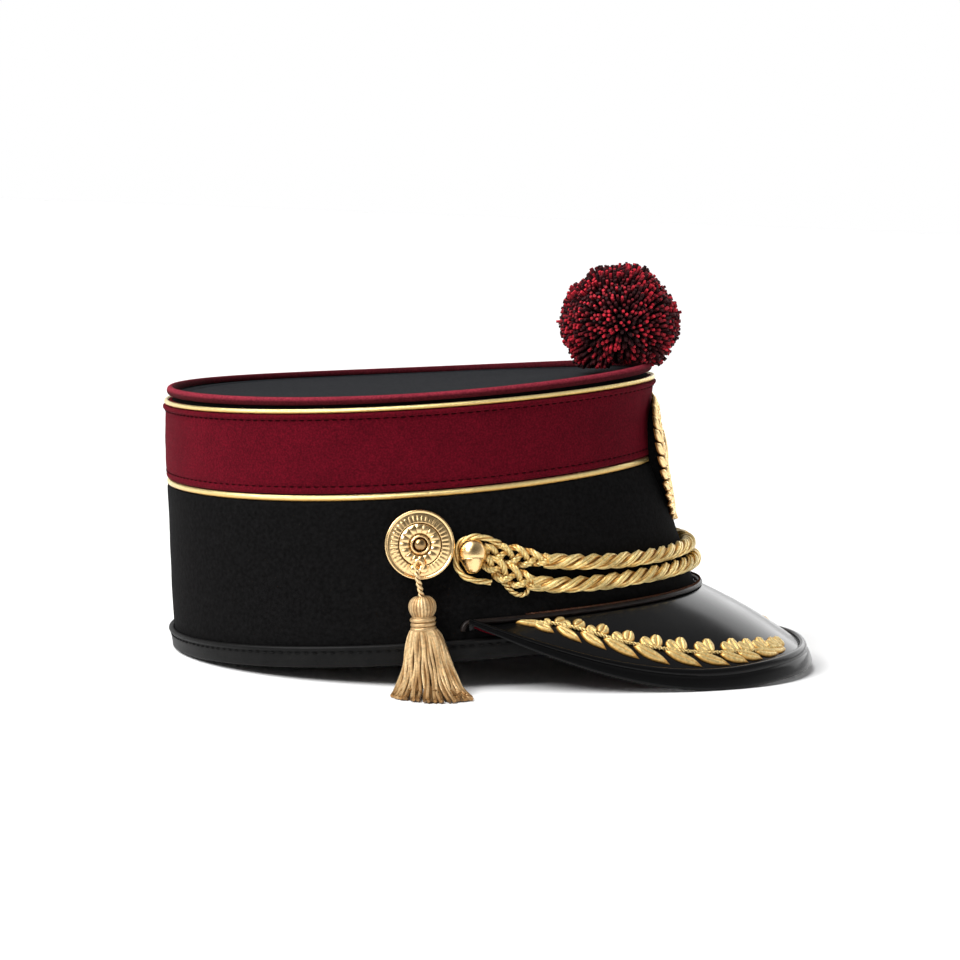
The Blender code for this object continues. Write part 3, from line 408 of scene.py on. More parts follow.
def wool_material(name, dark, light, painted_top_light=False):
    """Woven wool; with its top lit in paint, it is painted pale where it faces up and out (tone 1) as a
    painted highlight, and painted dark below that as painted shade.
    """
    nodes = Nodes(name, dark, 0.9, specular_ior_level=0.06, sheen_weight=0.05, sheen_roughness=0.3)
    nodes.shader.inputs["Sheen Tint"].default_value = (0.8, 0.08, 0.12, 1.0)
    fleck = nodes.patchy(1500.0, 3.0, (0.35, dark), (0.7, light))
    cloth = nodes.multiply(fleck, nodes.patchy(60.0, 4.0, (0.3, 0.78), (0.7, 1.0)))
    # Painted light: a painted highlight where the tone is high, painted shade where it is low.
    if painted_top_light:
        cloth = nodes.multiply(cloth, nodes.ramp(nodes.tone(), ((0.45, 0.24), (0.98, 1.0))))
    nodes.colour(cloth)
    crossed = nodes.add("Math", {"operation": "MULTIPLY"})
    for socket, degrees in zip(crossed.inputs, (45.0, -45.0)):
        nodes.feed(socket, nodes.ridges(degrees, 1.6, 0.6, 1.0))
    weave = nodes.bump(crossed.outputs[0], 0.10 * MM, 0.6)
    nodes.bump(nodes.noise(900.0, 4.0), 0.15 * MM, 0.6, weave)
    return nodes.material


def thread_material(name, dark, light, metallic, roughness, filaments=9.0, mottle=0.62):
    """Metallic thread: painted dark in its grooves (tone 0) as painted shade, with fine filaments that run
    along it.
    """
    nodes = Nodes(name, light, roughness, metallic)
    # Painted shade: the near-black groove colour at tone 0.
    groove = tuple(0.22 * part for part in dark)
    depth = nodes.ramp(nodes.tone(), ((0.0, groove), (0.45, dark), (0.95, light)))
    nodes.colour(nodes.multiply(depth, nodes.patchy(900.0, 4.0, (0.3, mottle), (0.6, 1.0))))
    nodes.bump(nodes.ridges(68.0, filaments / TAU, 1.2, 2.0), 0.05 * MM, 0.5)
    return nodes.material


def metal_material(name, dark, light):
    """Bright gilt, painted darker in its recesses (tone 0) than on its ridges (tone 1), as painted shade.
    """
    nodes = Nodes(name, light, 0.2, 1.0)
    # Painted shade: the dark colour at low tones, in the recesses.
    nodes.colour(nodes.ramp(nodes.tone(), ((0.15, dark), (0.6, light))))
    nodes.roughness(nodes.patchy(500.0, 4.0, (0.3, 0.16), (0.75, 0.34)))
    nodes.bump(nodes.noise(900.0, 3.0), 0.03 * MM, 0.5)
    return nodes.material


def patent_material(name, index):
    nodes = Nodes(name, (0.003, 0.003, 0.0032), 0.2, ior=index)
    nodes.roughness(nodes.patchy(40.0, 5.0, (0.3, 0.14), (0.75, 0.26)))
    nodes.bump(nodes.noise(300.0, 2.0), 0.05 * MM, 0.18)
    return nodes.material


def leather_material(name, dark, light, roughness=0.5):
    nodes = Nodes(name, dark, roughness, specular_ior_level=0.12)
    grain = nodes.add("TexVoronoi", {"feature": "DISTANCE_TO_EDGE"}, vector=nodes.place(), scale=1100.0)
    nodes.colour(nodes.patchy(180.0, 5.0, (0.3, dark), (0.75, light)))
    creases = nodes.bump(grain.outputs["Distance"], 0.12 * MM, 0.5)
    nodes.bump(nodes.noise(260.0, 4.0), 0.2 * MM, 0.4, creases)
    return nodes.material


def yarn_material():
    """Cut yarn: painted black at the root of each tuft (tone 0) as painted shade deep in the ball, and red
    at its bright tip (tone 1).
    """
    root, middle, tip = (0.002, 0.0001, 0.0002), (0.045, 0.0012, 0.004), (0.60, 0.017, 0.036)
    nodes = Nodes("yarn_red", (0.16, 0.004, 0.016), 0.75, specular_ior_level=0.25, sheen_weight=0.04,
                  sheen_roughness=0.4)
    nodes.shader.inputs["Sheen Tint"].default_value = (1.0, 0.35, 0.42, 1.0)
    # Painted shade: the root colours stand for shade inside the ball.
    nodes.colour(nodes.ramp(nodes.tone(), ((0.0, root), (0.4, middle), (1.0, tip))))
    nodes.bump(nodes.noise(2600.0, 2.0), 0.10 * MM, 0.6)
    return nodes.material


FELT = felt_material("felt_black", (0.0026, 0.0025, 0.0025), (0.0070, 0.0068, 0.0070))
CROWN_CLOTH = felt_material("crown_cloth", (0.008, 0.0086, 0.010), (0.019, 0.020, 0.023))
LINING = felt_material("lining_black", (0.010, 0.009, 0.009), (0.020, 0.018, 0.018))
WOOL = wool_material("wool_burgundy", (0.070, 0.0016, 0.0065), (0.155, 0.0036, 0.0125))
# The roll's wool, painted pale on top as a painted highlight and dark below as painted shade.
ROLL_WOOL = wool_material("wool_roll", (0.19, 0.017, 0.031), (0.38, 0.038, 0.060), painted_top_light=True)
WOOL_THREAD = felt_material("thread_burgundy", (0.012, 0.0006, 0.0015), (0.03, 0.0012, 0.003))
GOLD = thread_material("thread_gold", (0.80, 0.42, 0.095), (1.0, 0.77, 0.33), 0.62, 0.31)
PALE_GOLD = thread_material("piping_gold", (0.74, 0.42, 0.10), (1.0, 0.81, 0.38), 0.75, 0.25, 14.0, 0.88)
TASSEL_GOLD = thread_material("tassel_gold", (0.40, 0.21, 0.07), (0.98, 0.72, 0.39), 0.55, 0.34)
GILT = metal_material("gilt", (0.13, 0.05, 0.012), (1.0, 0.70, 0.34))
PATENT = patent_material("patent_black", 1.38)
PATENT_EDGE = patent_material("patent_edge", 1.24)
LEATHER = leather_material("leather_black", (0.003, 0.003, 0.003), (0.007, 0.0068, 0.0066))
LEATHER_CORD = leather_material("leather_cord", (0.006, 0.005, 0.005), (0.02, 0.014, 0.012), 0.3)
SWEATBAND = leather_material("sweatband_leather", (0.020, 0.013, 0.009), (0.04, 0.026, 0.018), 0.55)
BRONZE = thread_material("trim_bronze", (0.03, 0.012, 0.007), (0.16, 0.062, 0.030), 0.6, 0.3)
BLACK_THREAD = felt_material("thread_black", (0.006, 0.006, 0.006), (0.016, 0.016, 0.016))
YARN = yarn_material()


# Body of the hat

def ring(shape, profile, steps=288, wobble=None, tone=0.5):
    """A lofted band round the hat through (offset, height) pairs, bottom of the outer face first."""
    angle = round_angles(steps)
    rows = [wall(angle, height, offset + (wobble(angle, height) if wobble else 0.0))
            for offset, height in profile]
    shape.grid(np.stack(rows), around=True, along=True, tone=tone)


def fine(profile, step):
    """A profile with points added, so that none are further apart than the step."""
    spots = [np.asarray(profile[0], float)]
    for start, end in zip(profile, profile[1:]):
        start, end = np.asarray(start, float), np.asarray(end, float)
        count = max(int(np.ceil(np.linalg.norm(end - start) / step)), 1)
        spots += [start + (end - start) * index / count for index in range(1, count + 1)]
    return spots


def circle(offset, height, radius, steps):
    """A round profile, counter-clockwise from its outer side."""
    return [(offset + radius * math.cos(a), height + radius * math.sin(a)) for a in round_angles(steps)]


def ripple(size, waves):
    """A gentle unevenness round the hat, made of a few waves."""
    def move(angle, height):
        return size * sum(math.cos(height * 0.07 * turn + turn) * np.cos(turn * angle + 1.7 * turn)
                          for turn in waves) / len(waves)
    return move


def make_seams(name, material, circles, length, gap, radius, facing=1):
    """Stitches round the hat at (offset, height) places; facing is -1 on the inside of the wall."""
    angle = np.linspace(0.0, TAU, 720)
    shape = Shape()
    for offset, height in circles:
        path = wall(angle, height, offset)
        out = wall(angle, height, offset + 1.0) - path
        stitches(shape, path, facing * out, length, gap, radius)
    shape.make(name, material)


def make_felt_wall():
    """The felt, which steps inwards under the wool band and reaches up into the roll."""
    profile = fine([(0.0, 0.4), (0.0, 60.0), (-0.3, 60.9), (-2.4, 61.3), (-2.6, 62.0), (-2.6, 98.2)], 3.4)
    profile += [(-3.2, 98.2), (-3.4, 95.8)]
    profile += fine([(-4.6, 95.6), (-4.6, 62.0), (-2.2, 60.0), (-2.0, 0.4)], 6.0)
    shape = Shape()
    ring(shape, profile, wobble=ripple(0.22, (3, 5, 8, 13)))
    shape.make("felt_wall", FELT, ["body_wall"])


def make_lining():
    """A cloth lining, and a stitched leather sweatband below it."""
    shape = Shape()
    ring(shape, fine([(-2.5, 32.0), (-2.7, 58.0), (-5.1, 63.0), (-5.1, 92.0)], 5.0)
         + fine([(-5.6, 92.0), (-5.6, 63.0), (-3.2, 58.0), (-3.0, 32.0)], 5.0), steps=192)
    shape.make("lining_cloth", LINING)
    band = Shape()
    ring(band, fine([(-2.3, 1.6), (-2.4, 33.0)], 4.0) + [(-2.9, 34.0)]
         + fine([(-3.4, 33.0), (-3.3, 1.6)], 4.0) + [(-2.8, 1.0)], steps=192)
    band.make("sweatband", SWEATBAND)
    make_seams("sweatband_stitches", BLACK_THREAD, [(-3.45, 31.0)], 2.2, 1.3, 0.28, -1)


def crown_height(x):
    """Height of the crown's upper face, which follows the end rise of the wall."""
    length, _, shift, rise = section(WALL_TOP)
    return WALL_TOP + CROWN_RISE + rise * ((x - shift) / (length - SEAM_INSET - WALL)) ** 2


def make_crown():
    """The cloth top, slightly hollow and uneven, with a shallow groove beside the roll."""
    angle = round_angles(240)
    rim = wall(angle, WALL_TOP, -CROWN_INSET)
    middle = rim.mean(axis=0)
    rows = []
    for share in np.concatenate((np.linspace(0.02, 0.9, 14), np.linspace(0.92, 1.0, 12))):
        spots = middle + (rim - middle) * share
        spots[:, 2] = crown_height(spots[:, 0]) + 0.10 * np.sin(5 * angle + 2 * share) * share
        spots[:, 2] -= 0.5 * (1 - share ** 2) + 0.9 * math.exp(-((share - 0.962) / 0.016) ** 2)
        rows.append(spots)
    under = [row - (0.0, 0.0, CROWN_THICKNESS) for row in rows[::-4]]
    shape = Shape()
    shape.grid(np.stack((rows + under)[::-1]), around=True, caps=True)
    shape.make("crown_cloth", CROWN_CLOTH, ["crown_top"])


def make_base_band():
    profile = fine([(1.0, 0.0), (1.4, 0.4), (1.5, 4.6)], 0.8)
    profile += [(1.42, 5.2), (1.25, 5.6), (1.42, 6.0), (1.8, 6.4), (2.15, 6.8), (2.25, 7.2), (2.05, 7.7),
                (1.6, 8.0), (0.9, 8.1), (0.3, 7.9), (0.3, 0.2)]
    shape = Shape()
    ring(shape, profile, steps=360, wobble=ripple(0.10, (4, 9, 17)))
    shape.make("foot_band", LEATHER, ["base_band"])
    make_seams("foot_band_stitches", BLACK_THREAD, [(1.35, 5.5)], 2.3, 1.2, 0.30)


def make_wool_band():
    outer = [(-0.3, 64.0), (0.15, 64.4), (0.32, 65.2), (0.25, 66.2), (-0.05, 66.7), (0.25, 67.2)]
    outer += fine([(0.35, 68.5), (0.35, 88.0), (0.3, 90.6)], 2.6)
    outer += [(0.22, 91.4), (0.3, 92.0), (0.85, 92.3), (1.2, 92.7), (1.3, 93.2), (1.2, 93.7),
              (0.7, 94.05), (-0.7, 94.15)]
    inner = fine([(-1.3, 94.3), (-1.3, 95.7), (-2.3, 95.7), (-2.3, 64.0)], 8.0)
    shape = Shape()
    ring(shape, outer + inner, steps=360, wobble=ripple(0.16, (2, 5, 7, 11)))
    shape.make("wool_band", WOOL, ["burgundy_band"])
    circles = ((0.02, 66.7), (0.3, 91.8))
    make_seams("wool_band_stitches", WOOL_THREAD, circles, 2.1, 1.1, 0.26)


def make_roll():
    """The roll, slightly puckered, and painted brightest where it faces up and out: a painted highlight,
    with painted shade below it.
    """
    shape = Shape()
    ring(shape, circle(-1.9, 98.75, 1.5, 18), steps=480, tone=np.sin(round_angles(18) + 0.5)[:, None],
         wobble=lambda angle, height: 0.05 * np.cos(90 * angle + 0.9 * height) + 0.04 * np.cos(37 * angle))
    shape.make("crown_roll", ROLL_WOOL, ["top_roll"])


def make_piping(node, offset, height, radius):
    shape = Shape()
    # Painted light: the tone paints each piping bright on its upper side as a painted highlight and darker
    # on its lower side as painted shade.
    lift = np.sin(round_angles(14) + 0.35)[:, None]
    ring(shape, circle(offset, height, radius, 14), steps=400, tone=np.clip(0.58 + 0.5 * lift, 0, 1))
    shape.make(f"{node}_cord", PALE_GOLD, [node])


make_felt_wall()
make_lining()
make_crown()
make_base_band()
make_wool_band()
make_roll()
make_piping("upper_piping", 0.0, UPPER_PIPING, 0.88)
make_piping("lower_piping", -1.05, LOWER_PIPING, 1.2)


# Peak

PEAK_TIP, PEAK_TAIL, PEAK_HALF_WIDTH = 149.0, 14.0, 91.2
PEAK_BLUNTNESS = 2.3
PEAK_ROOT_HEIGHT, PEAK_DROP, PEAK_LOWEST_SHARE = 12.6, 33.4, 0.8
PEAK_THICKNESS, PEAK_CROWNING = 1.8, 1.3
RIM_WIDTHS = (1.6, 2.6)
RIM_HEIGHTS = (2.2, 8.2)
RIM_LEAN = 0.3
GAP = 0.3
LINING_START = 8.5


def outline(turn):
    """The peak's edge seen from above; turn runs from -1 at its right tail to 1 at its left."""
    angle = turn * math.pi / 2
    power = 2 / PEAK_BLUNTNESS
    x = PEAK_TAIL + (PEAK_TIP - PEAK_TAIL) * np.maximum(np.cos(angle), 0.0) ** power
    y = PEAK_HALF_WIDTH * np.sign(angle) * np.abs(np.sin(angle)) ** power
    return xyz(x, y, 0.0)


def edge_normal(turn):
    step = 0.01
    way = outline(np.minimum(turn + step, 1.0)) - outline(np.maximum(turn - step, -1.0))
    return unit(xyz(way[..., 1], -way[..., 0], 0.0))


def drop_share(turn):
    """How far down the edge hangs: 0 at the tails, 1 at the front."""
    reach = (outline(turn)[..., 0] - PEAK_TAIL) / (PEAK_TIP - PEAK_TAIL)
    return np.sin(math.pi / 2 * np.minimum(reach / PEAK_LOWEST_SHARE, 1.0))


def blend(pair, share):
    """A value between two."""
    return pair[0] + (pair[1] - pair[0]) * share


def rim_foot(turn):
    spots = outline(turn)
    spots[..., 2] = PEAK_ROOT_HEIGHT + 0.7 * RIM_HEIGHTS[0] - PEAK_DROP * drop_share(turn)
    return spots


def facing_angle(spots, height):
    """The wall angle whose outward line meets a place outside the wall, found by halving."""
    length, width, shift, _ = section(height)
    low, high = np.zeros(len(spots)), np.full(len(spots), PEAK_TIP)
    for _ in range(28):
        offset = (low + high) / 2
        ahead = (spots[:, 0] - shift) / (length + offset)
        across = spots[:, 1] / (width * (1 - EGG * ahead) + offset)
        inside = np.hypot(ahead, across) < 1.0
        high, low = np.where(inside, offset, high), np.where(inside, low, offset)
    return np.arctan2(across, ahead)


def peak_grid(turns, shares):
    """Points of the peak's upper face for rows of turns and columns of shares (0 at the wall)."""
    fall = drop_share(turns)
    angle = facing_angle(outline(turns), PEAK_ROOT_HEIGHT)
    root = wall(angle, PEAK_ROOT_HEIGHT, blend((1.3, 2.2), fall))
    root[:, 2] = PEAK_ROOT_HEIGHT
    height = blend(RIM_HEIGHTS, fall)
    inset = blend(RIM_WIDTHS, fall) + RIM_LEAN * height + GAP
    edge = rim_foot(turns) - edge_normal(turns) * inset[:, None]
    edge[:, 2] += height * 0.9
    points = root[:, None] + (edge - root)[:, None] * shares[None, :, None]
    points[..., 2] += PEAK_CROWNING * np.sin(math.pi * shares)[None] * fall[:, None]
    return points


TURNS = np.sin(np.linspace(-math.pi / 2, math.pi / 2, 241))
SHARES = np.linspace(0.0, 1.0, 41)
PEAK_POINTS = peak_grid(TURNS, SHARES)
PEAK_NORMALS = unit(np.cross(np.gradient(PEAK_POINTS, axis=1), np.gradient(PEAK_POINTS, axis=0)))


def on_grid(table, rows, columns, row, column):
    """Values of a table between its points, for arrays of places."""
    i = np.interp(row, rows, np.arange(len(rows)))
    j = np.interp(column, columns, np.arange(len(columns)))
    i0, j0 = np.minimum(i.astype(int), len(rows) - 2), np.minimum(j.astype(int), len(columns) - 2)
    a, b = (i - i0)[..., None], (j - j0)[..., None]
    return (table[i0, j0] * (1 - a) * (1 - b) + table[i0 + 1, j0] * a * (1 - b)
            + table[i0, j0 + 1] * (1 - a) * b + table[i0 + 1, j0 + 1] * a * b)


def on_peak(turn, share, lift=0.0):
    """Points on the peak's upper face, or lifted off it."""
    normal = on_grid(PEAK_NORMALS, TURNS, SHARES, turn, share)
    return on_grid(PEAK_POINTS, TURNS, SHARES, turn, share) + normal * np.asarray(lift)[..., None]


def make_peak():
    shape = Shape()
    lower = PEAK_POINTS - PEAK_NORMALS * PEAK_THICKNESS
    shape.grid(np.concatenate((PEAK_POINTS, lower[:, ::-4]), axis=1), around=True, caps=True)
    shape.make("peak_leather", PATENT, ["peak"])
    lining = Shape()
    rows = slice(8, -8)
    depth = np.linalg.norm(PEAK_POINTS[:, -1] - PEAK_POINTS[:, 0], axis=1)
    start = np.clip(LINING_START / depth, 0.0, 0.9)
    share = start[:, None] + (0.97 - start[:, None]) * np.linspace(0.0, 1.0, 12)[None]
    turn = np.broadcast_to(TURNS[:, None], share.shape)
    faces = [on_peak(turn, share, -PEAK_THICKNESS - below) for below in (0.3, 1.2)]
    lining.grid(np.concatenate((faces[0], faces[1][:, ::-1]), axis=1)[rows], around=True, caps=True)
    lining.make("peak_lining_cloth", WOOL, ["peak_lining"])


def make_rim():
    """A rolled edge: a bead on top, a groove, and a plain band below it."""
    profile = ((-1.0, 0.12), (-0.82, 0.03), (-0.6, 0.0), (-0.3, 0.0), (-0.12, 0.03), (0.0, 0.12),
               (0.04, 0.25), (0.04, 0.45), (0.0, 0.57), (-0.10, 0.63), (-0.20, 0.655), (-0.22, 0.69),
               (-0.10, 0.73), (-0.03, 0.80), (-0.03, 0.88), (-0.12, 0.96), (-0.3, 1.0), (-0.6, 1.02),
               (-0.85, 1.0), (-1.0, 0.92), (-1.04, 0.5))
    turns = np.sin(np.linspace(-math.pi / 2, math.pi / 2, 321))
    fall = drop_share(turns)
    width, height = blend(RIM_WIDTHS, fall), blend(RIM_HEIGHTS, fall)
    foot, outward = rim_foot(turns), edge_normal(turns)
    rows = []
    for across, up in profile:
        spots = foot + outward * (across * width - RIM_LEAN * up * height)[:, None]
        spots[:, 2] += up * height
        rows.append(spots)
    shape = Shape()
    shape.grid(np.stack(rows, axis=1), around=True, caps=True)
    shape.make("peak_rim_leather", PATENT_EDGE, ["peak_rim"], sharp=60.0)


def make_trim():
    """A smooth black cord with a thin bronze one laid on top of it."""
    height, offset = PEAK_ROOT_HEIGHT + 1.6, 1.3
    tail = float(wall_angle(PEAK_TAIL, height, offset))
    angle = np.linspace(-tail, tail, 50)
    path = wall(angle, height, offset + 0.9 * np.maximum(np.cos(angle), 0) ** 2)
    ends = [[side_place(PEAK_TAIL - reach, height - drop, offset, side)
             for reach, drop in ((1.6, 0.45), (2.6, 1.8), (2.9, 3.0))] for side in (-1, 1)]
    path = smooth_path(np.vstack((ends[0][::-1], path, ends[1])), 420)
    out = path * FLAT
    cord = Shape()
    cord.tube(path, 1.05, 14, out)
    cord.make("peak_trim_cord", LEATHER_CORD, ["peak_trim"])
    glint = Shape()
    path, out = path[40:-40] + (0.0, 0.0, 1.25), out[40:-40]
    twisted(glint, path, out, 0.5, -2.2, strands=2, sides=6)
    glint.make("peak_trim_thread", BRONZE)


make_peak()
make_rim()
make_trim()


# Leaf work

THREAD_WIDTH = 0.62


def leaf(shape, place, length, half_width, rise, outline_power=(0.8, 0.9), rows=32, columns=13):
    """A padded embroidered leaf; place turns (share along, distance across, lift) into points."""
    s = np.linspace(0.0, 1.0, rows)[:, None]
    a = np.linspace(-1.0, 1.0, columns)[None]
    swell = np.sin(math.pi * s ** outline_power[0]) ** outline_power[1]
    width = np.maximum(swell, 0.06) * half_width
    dome = rise * np.minimum(swell * 1.6, 1.0) * (1 - np.abs(a) ** 2.4) ** 0.5
    dome = dome * (1 - 0.55 * np.exp(-(a / 0.16) ** 2) * np.sin(math.pi * s) ** 0.3)
    thread = (s * length + np.abs(a) * width * 0.9) / THREAD_WIDTH
    dome = dome + 0.055 * np.cos(TAU * thread) * (1 - a ** 4) * swell
    top = place(s, a * width, dome + 0.05)
    under = place(s, a[:, ::-1] * width, -0.15 + 0 * dome)
    # Painted shade: the tone follows the dome's height, so the leaf is painted darker towards its low edges
    # and on its underside.
    tone = np.concatenate((np.clip(dome / rise, 0, 1), 0 * dome), axis=1)
    shape.grid(np.concatenate((top, under), axis=1), around=True, caps=True, tone=tone)


def peak_leaf(shape, root, tip, half_width, rise, **look):
    """A leaf on the peak between two (turn, share) places."""
    root, tip = np.array(root), np.array(tip)
    middle = (root + tip) / 2
    step = 0.004
    here = on_peak(*middle)
    by_turn = (on_peak(middle[0] + step, middle[1]) - here) / step
    by_share = (on_peak(middle[0], middle[1] + step) - here) / step
    way = on_peak(*tip) - on_peak(*root)
    normal = np.cross(by_share, by_turn)
    across = unit(np.cross(normal, way))
    lateral = np.linalg.lstsq(np.stack((by_turn, by_share), -1), across, rcond=None)[0]

    def place(s, out, lift):
        bend = root + (tip - root) * s[..., None]
        turn = bend[..., 0] + lateral[0] * out
        share = np.clip(bend[..., 1] + lateral[1] * out, 0.01, 0.985)
        return on_peak(turn, share, lift + 0 * turn)
    leaf(shape, place, float(np.linalg.norm(way)), half_width, rise, **look)


# Places on the peak of the spray's stem, of its long lower leaves (root, tip) and of its round
# upper leaves, as (turn, share); the other spray mirrors them
SPRAY_STEM = (
    (-0.898, 0.12), (-0.880, 0.165), (-0.862, 0.21), (-0.805, 0.40), (-0.760, 0.54), (-0.714, 0.63),
    (-0.646, 0.70), (-0.544, 0.775), (-0.442, 0.825), (-0.34, 0.87), (-0.24, 0.905))
SPRAY_LOWER = (
    ((-0.930, 0.02), (-0.866, 0.28)), ((-0.900, 0.16), (-0.868, 0.52)), ((-0.858, 0.30), (-0.822, 0.71)),
    ((-0.812, 0.44), (-0.776, 0.79)), ((-0.768, 0.56), (-0.712, 0.88)), ((-0.706, 0.66), (-0.646, 0.93)),
    ((-0.634, 0.72), (-0.566, 0.955)), ((-0.560, 0.78), (-0.484, 0.965)), ((-0.484, 0.81), (-0.420, 0.97)),
    ((-0.426, 0.84), (-0.360, 0.97)), ((-0.360, 0.87), (-0.270, 0.965)), ((-0.300, 0.89), (-0.205, 0.945)))
SPRAY_UPPER = (
    (-0.872, 0.15), (-0.834, 0.22), (-0.786, 0.34), (-0.733, 0.47), (-0.667, 0.55), (-0.603, 0.61),
    (-0.524, 0.67), (-0.440, 0.72), (-0.385, 0.765), (-0.322, 0.79), (-0.262, 0.84), (-0.225, 0.86))


def mirrored(places, side):
    return [(place[0] * -side, place[1]) for place in places]


def make_spray(side, side_name):
    """A laurel spray: a twisted stem, single leaves below it and pairs of round ones above."""
    shape = Shape()
    spots = np.array(mirrored(SPRAY_STEM, side))
    fine_spots = smooth_path(np.column_stack((spots, 0 * spots[:, 0])), 160)
    stem = on_peak(fine_spots[:, 0], fine_spots[:, 1], np.full(len(fine_spots), 0.75))
    normals = on_grid(PEAK_NORMALS, TURNS, SHARES, fine_spots[:, 0], fine_spots[:, 1])
    twisted(shape, stem, normals, 0.85, 3.0, strands=2, sides=8)
    for index, pair in enumerate(SPRAY_LOWER):
        root, tip = mirrored(pair, side)
        size = 0.72 + 0.28 * min(index, 4) / 4
        peak_leaf(shape, root, tip, 2.55 * size, 1.35)
    stem_shares = np.interp([spot[0] for spot in SPRAY_UPPER], [spot[0] for spot in SPRAY_STEM],
                            [spot[1] for spot in SPRAY_STEM])
    for (turn, share), low in zip(SPRAY_UPPER, stem_shares):
        rise = low - share
        for lean, reach in ((-0.016, 0.72), (0.032, 1.0)):
            root = (turn + 0.010 + 0.2 * lean, low + 0.01)
            tip = (turn + 0.010 + lean, low - rise * reach - 0.05)
            first, last = mirrored((root, tip), side)
            peak_leaf(shape, first, last, 2.7, 1.4, outline_power=(1.15, 0.42), rows=22, columns=11)
    shape.make(f"leaf_embroidery_{side_name}", GOLD, [f"leaf_spray_{side_name}"])


BADGE_FOOT, BADGE_TOP = 39.0, 89.6
BADGE_STANDOFF, BADGE_BULGE, BADGE_FOOT_INSET = 1.8, 0.8, 1.1
BADGE_MIDDLE = (BADGE_FOOT + BADGE_TOP) / 2
BADGE_LIFT = -0.8
WREATH_HALF_WIDTH, WREATH_HALF_HEIGHT = 15.8, (BADGE_TOP - BADGE_FOOT) / 2 - 2.9
WREATH_MIDDLE = BADGE_MIDDLE + 2.5
WREATH_LEAVES, WREATH_SPOTS = 12, 160


def badge_surface(across, height, lift=0.0):
    """Points of the badge's face, which bridges the hollow in the front of the wall."""
    share = (height - BADGE_FOOT) / (BADGE_TOP - BADGE_FOOT)
    foot, top = wall(0.0, BADGE_FOOT)[0], wall(0.0, BADGE_TOP)[0]
    bulge = BADGE_BULGE * np.sin(math.pi * np.clip(share, 0.0, 1.0))
    bulge = bulge - BADGE_FOOT_INSET * (2 * np.maximum(0.5 - share, 0.0)) ** 2
    face = foot + (top - foot) * share + BADGE_STANDOFF + bulge + lift
    offset = face - wall(0.0, height)[..., 0]
    angle = np.arcsin(np.clip(across / (section(height)[1] * (1 - EGG) + offset), -1, 1))
    points = wall(angle, height, offset)
    points[..., 2] = height
    return points


def wall_front(across, height, offset):
    """How far forward the wall is at a place across the front."""
    length, width, shift, _ = section(height)
    angle = np.arcsin(np.clip(across / (width * (1 - EGG) + offset), -1, 1))
    return (length + offset) * np.cos(angle) + shift


def badge_leaf(shape, root, tip, half_width, rise, **look):
    root, tip = np.array(root), np.array(tip)
    way = unit(tip - root)
    lateral = np.array((-way[1], way[0]))

    def place(s, out, lift):
        spot = root + (tip - root) * s[..., None] + lateral * out[..., None]
        return badge_surface(spot[..., 0], spot[..., 1], lift + BADGE_LIFT + 0 * out)
    leaf(shape, place, float(np.linalg.norm(tip - root)), half_width, rise, **look)


def make_badge():
    """A generic laurel wreath of two branches round a plain boss, on a short foot."""
    shape = Shape()
    up = np.linspace(BADGE_FOOT + 0.3, WREATH_MIDDLE - WREATH_HALF_HEIGHT, 20)
    shape.tube(xyz(wall_front(0.0, up, 1.5), 0.0, up), 1.0, 8, FORWARD, tone=0.7)
    angle = np.linspace(-math.pi / 2, math.pi / 2 - math.radians(20), WREATH_SPOTS)
    for side in (-1, 1):
        spots = np.stack((side * WREATH_HALF_WIDTH * np.cos(angle),
                          WREATH_MIDDLE + WREATH_HALF_HEIGHT * np.sin(angle)), -1)
        shape.tube(badge_surface(spots[:, 0], spots[:, 1], BADGE_LIFT + 0.2), 0.8, 8, FORWARD, tone=0.7)
        for k in 6 + 12 * np.arange(WREATH_LEAVES):
            spot, way = spots[k], unit(spots[k + 1] - spots[k - 1])
            out = np.array((way[1], -way[0])) * side
            for reach, rise in ((0.95, 1.3), (0.0, 1.6), (-0.80, 1.3)):
                tip = spot + way * 5.2 + out * reach * 5.6
                badge_leaf(shape, spot + out * reach * 0.5, tip, 2.2, rise, rows=18, columns=9)
    shape.make("wreath", GILT, ["badge_wreath"])


def make_badge_pad():
    """A black pad that fills the room between the wall and the wreath."""
    share = np.linspace(-1.0, 1.0, 60)[:, None]
    across = np.linspace(-1.0, 1.0, 33)[None] * 16.2 * np.sqrt(np.maximum(1 - share ** 2, 0.002))
    height = BADGE_MIDDLE + 2.2 + 22.0 * share + 0 * across
    face = badge_surface(across, height, BADGE_LIFT - 0.35)
    back = xyz(wall_front(face[..., 1], height, 0.45), face[..., 1], height)
    shape = Shape()
    shape.grid(np.concatenate((face, back[:, ::-1]), axis=1), around=True, caps=True)
    shape.make("badge_pad", FELT)


def turned(shape, profile, place, axis, sideways, steps, relief=None):
    """A turned form from (radius, height) pairs; relief gives carving and tone by radius and angle."""
    axis = unit(np.asarray(axis, float))
    up = unit(np.cross(axis, sideways))
    side = np.cross(up, axis)
    angle = round_angles(steps)
    spokes = np.cos(angle)[:, None] * side + np.sin(angle)[:, None] * up
    rows, tones = [], []
    for radius, height in profile:
        rise, tone = relief(radius, angle) if relief else (0.0, 0.7)
        rows.append(place + spokes * radius + axis * np.reshape(height + rise, (-1, 1)))
        tones.append(tone + 0 * angle)
    shape.grid(np.stack(rows), around=True, caps=True, tone=np.stack(tones))


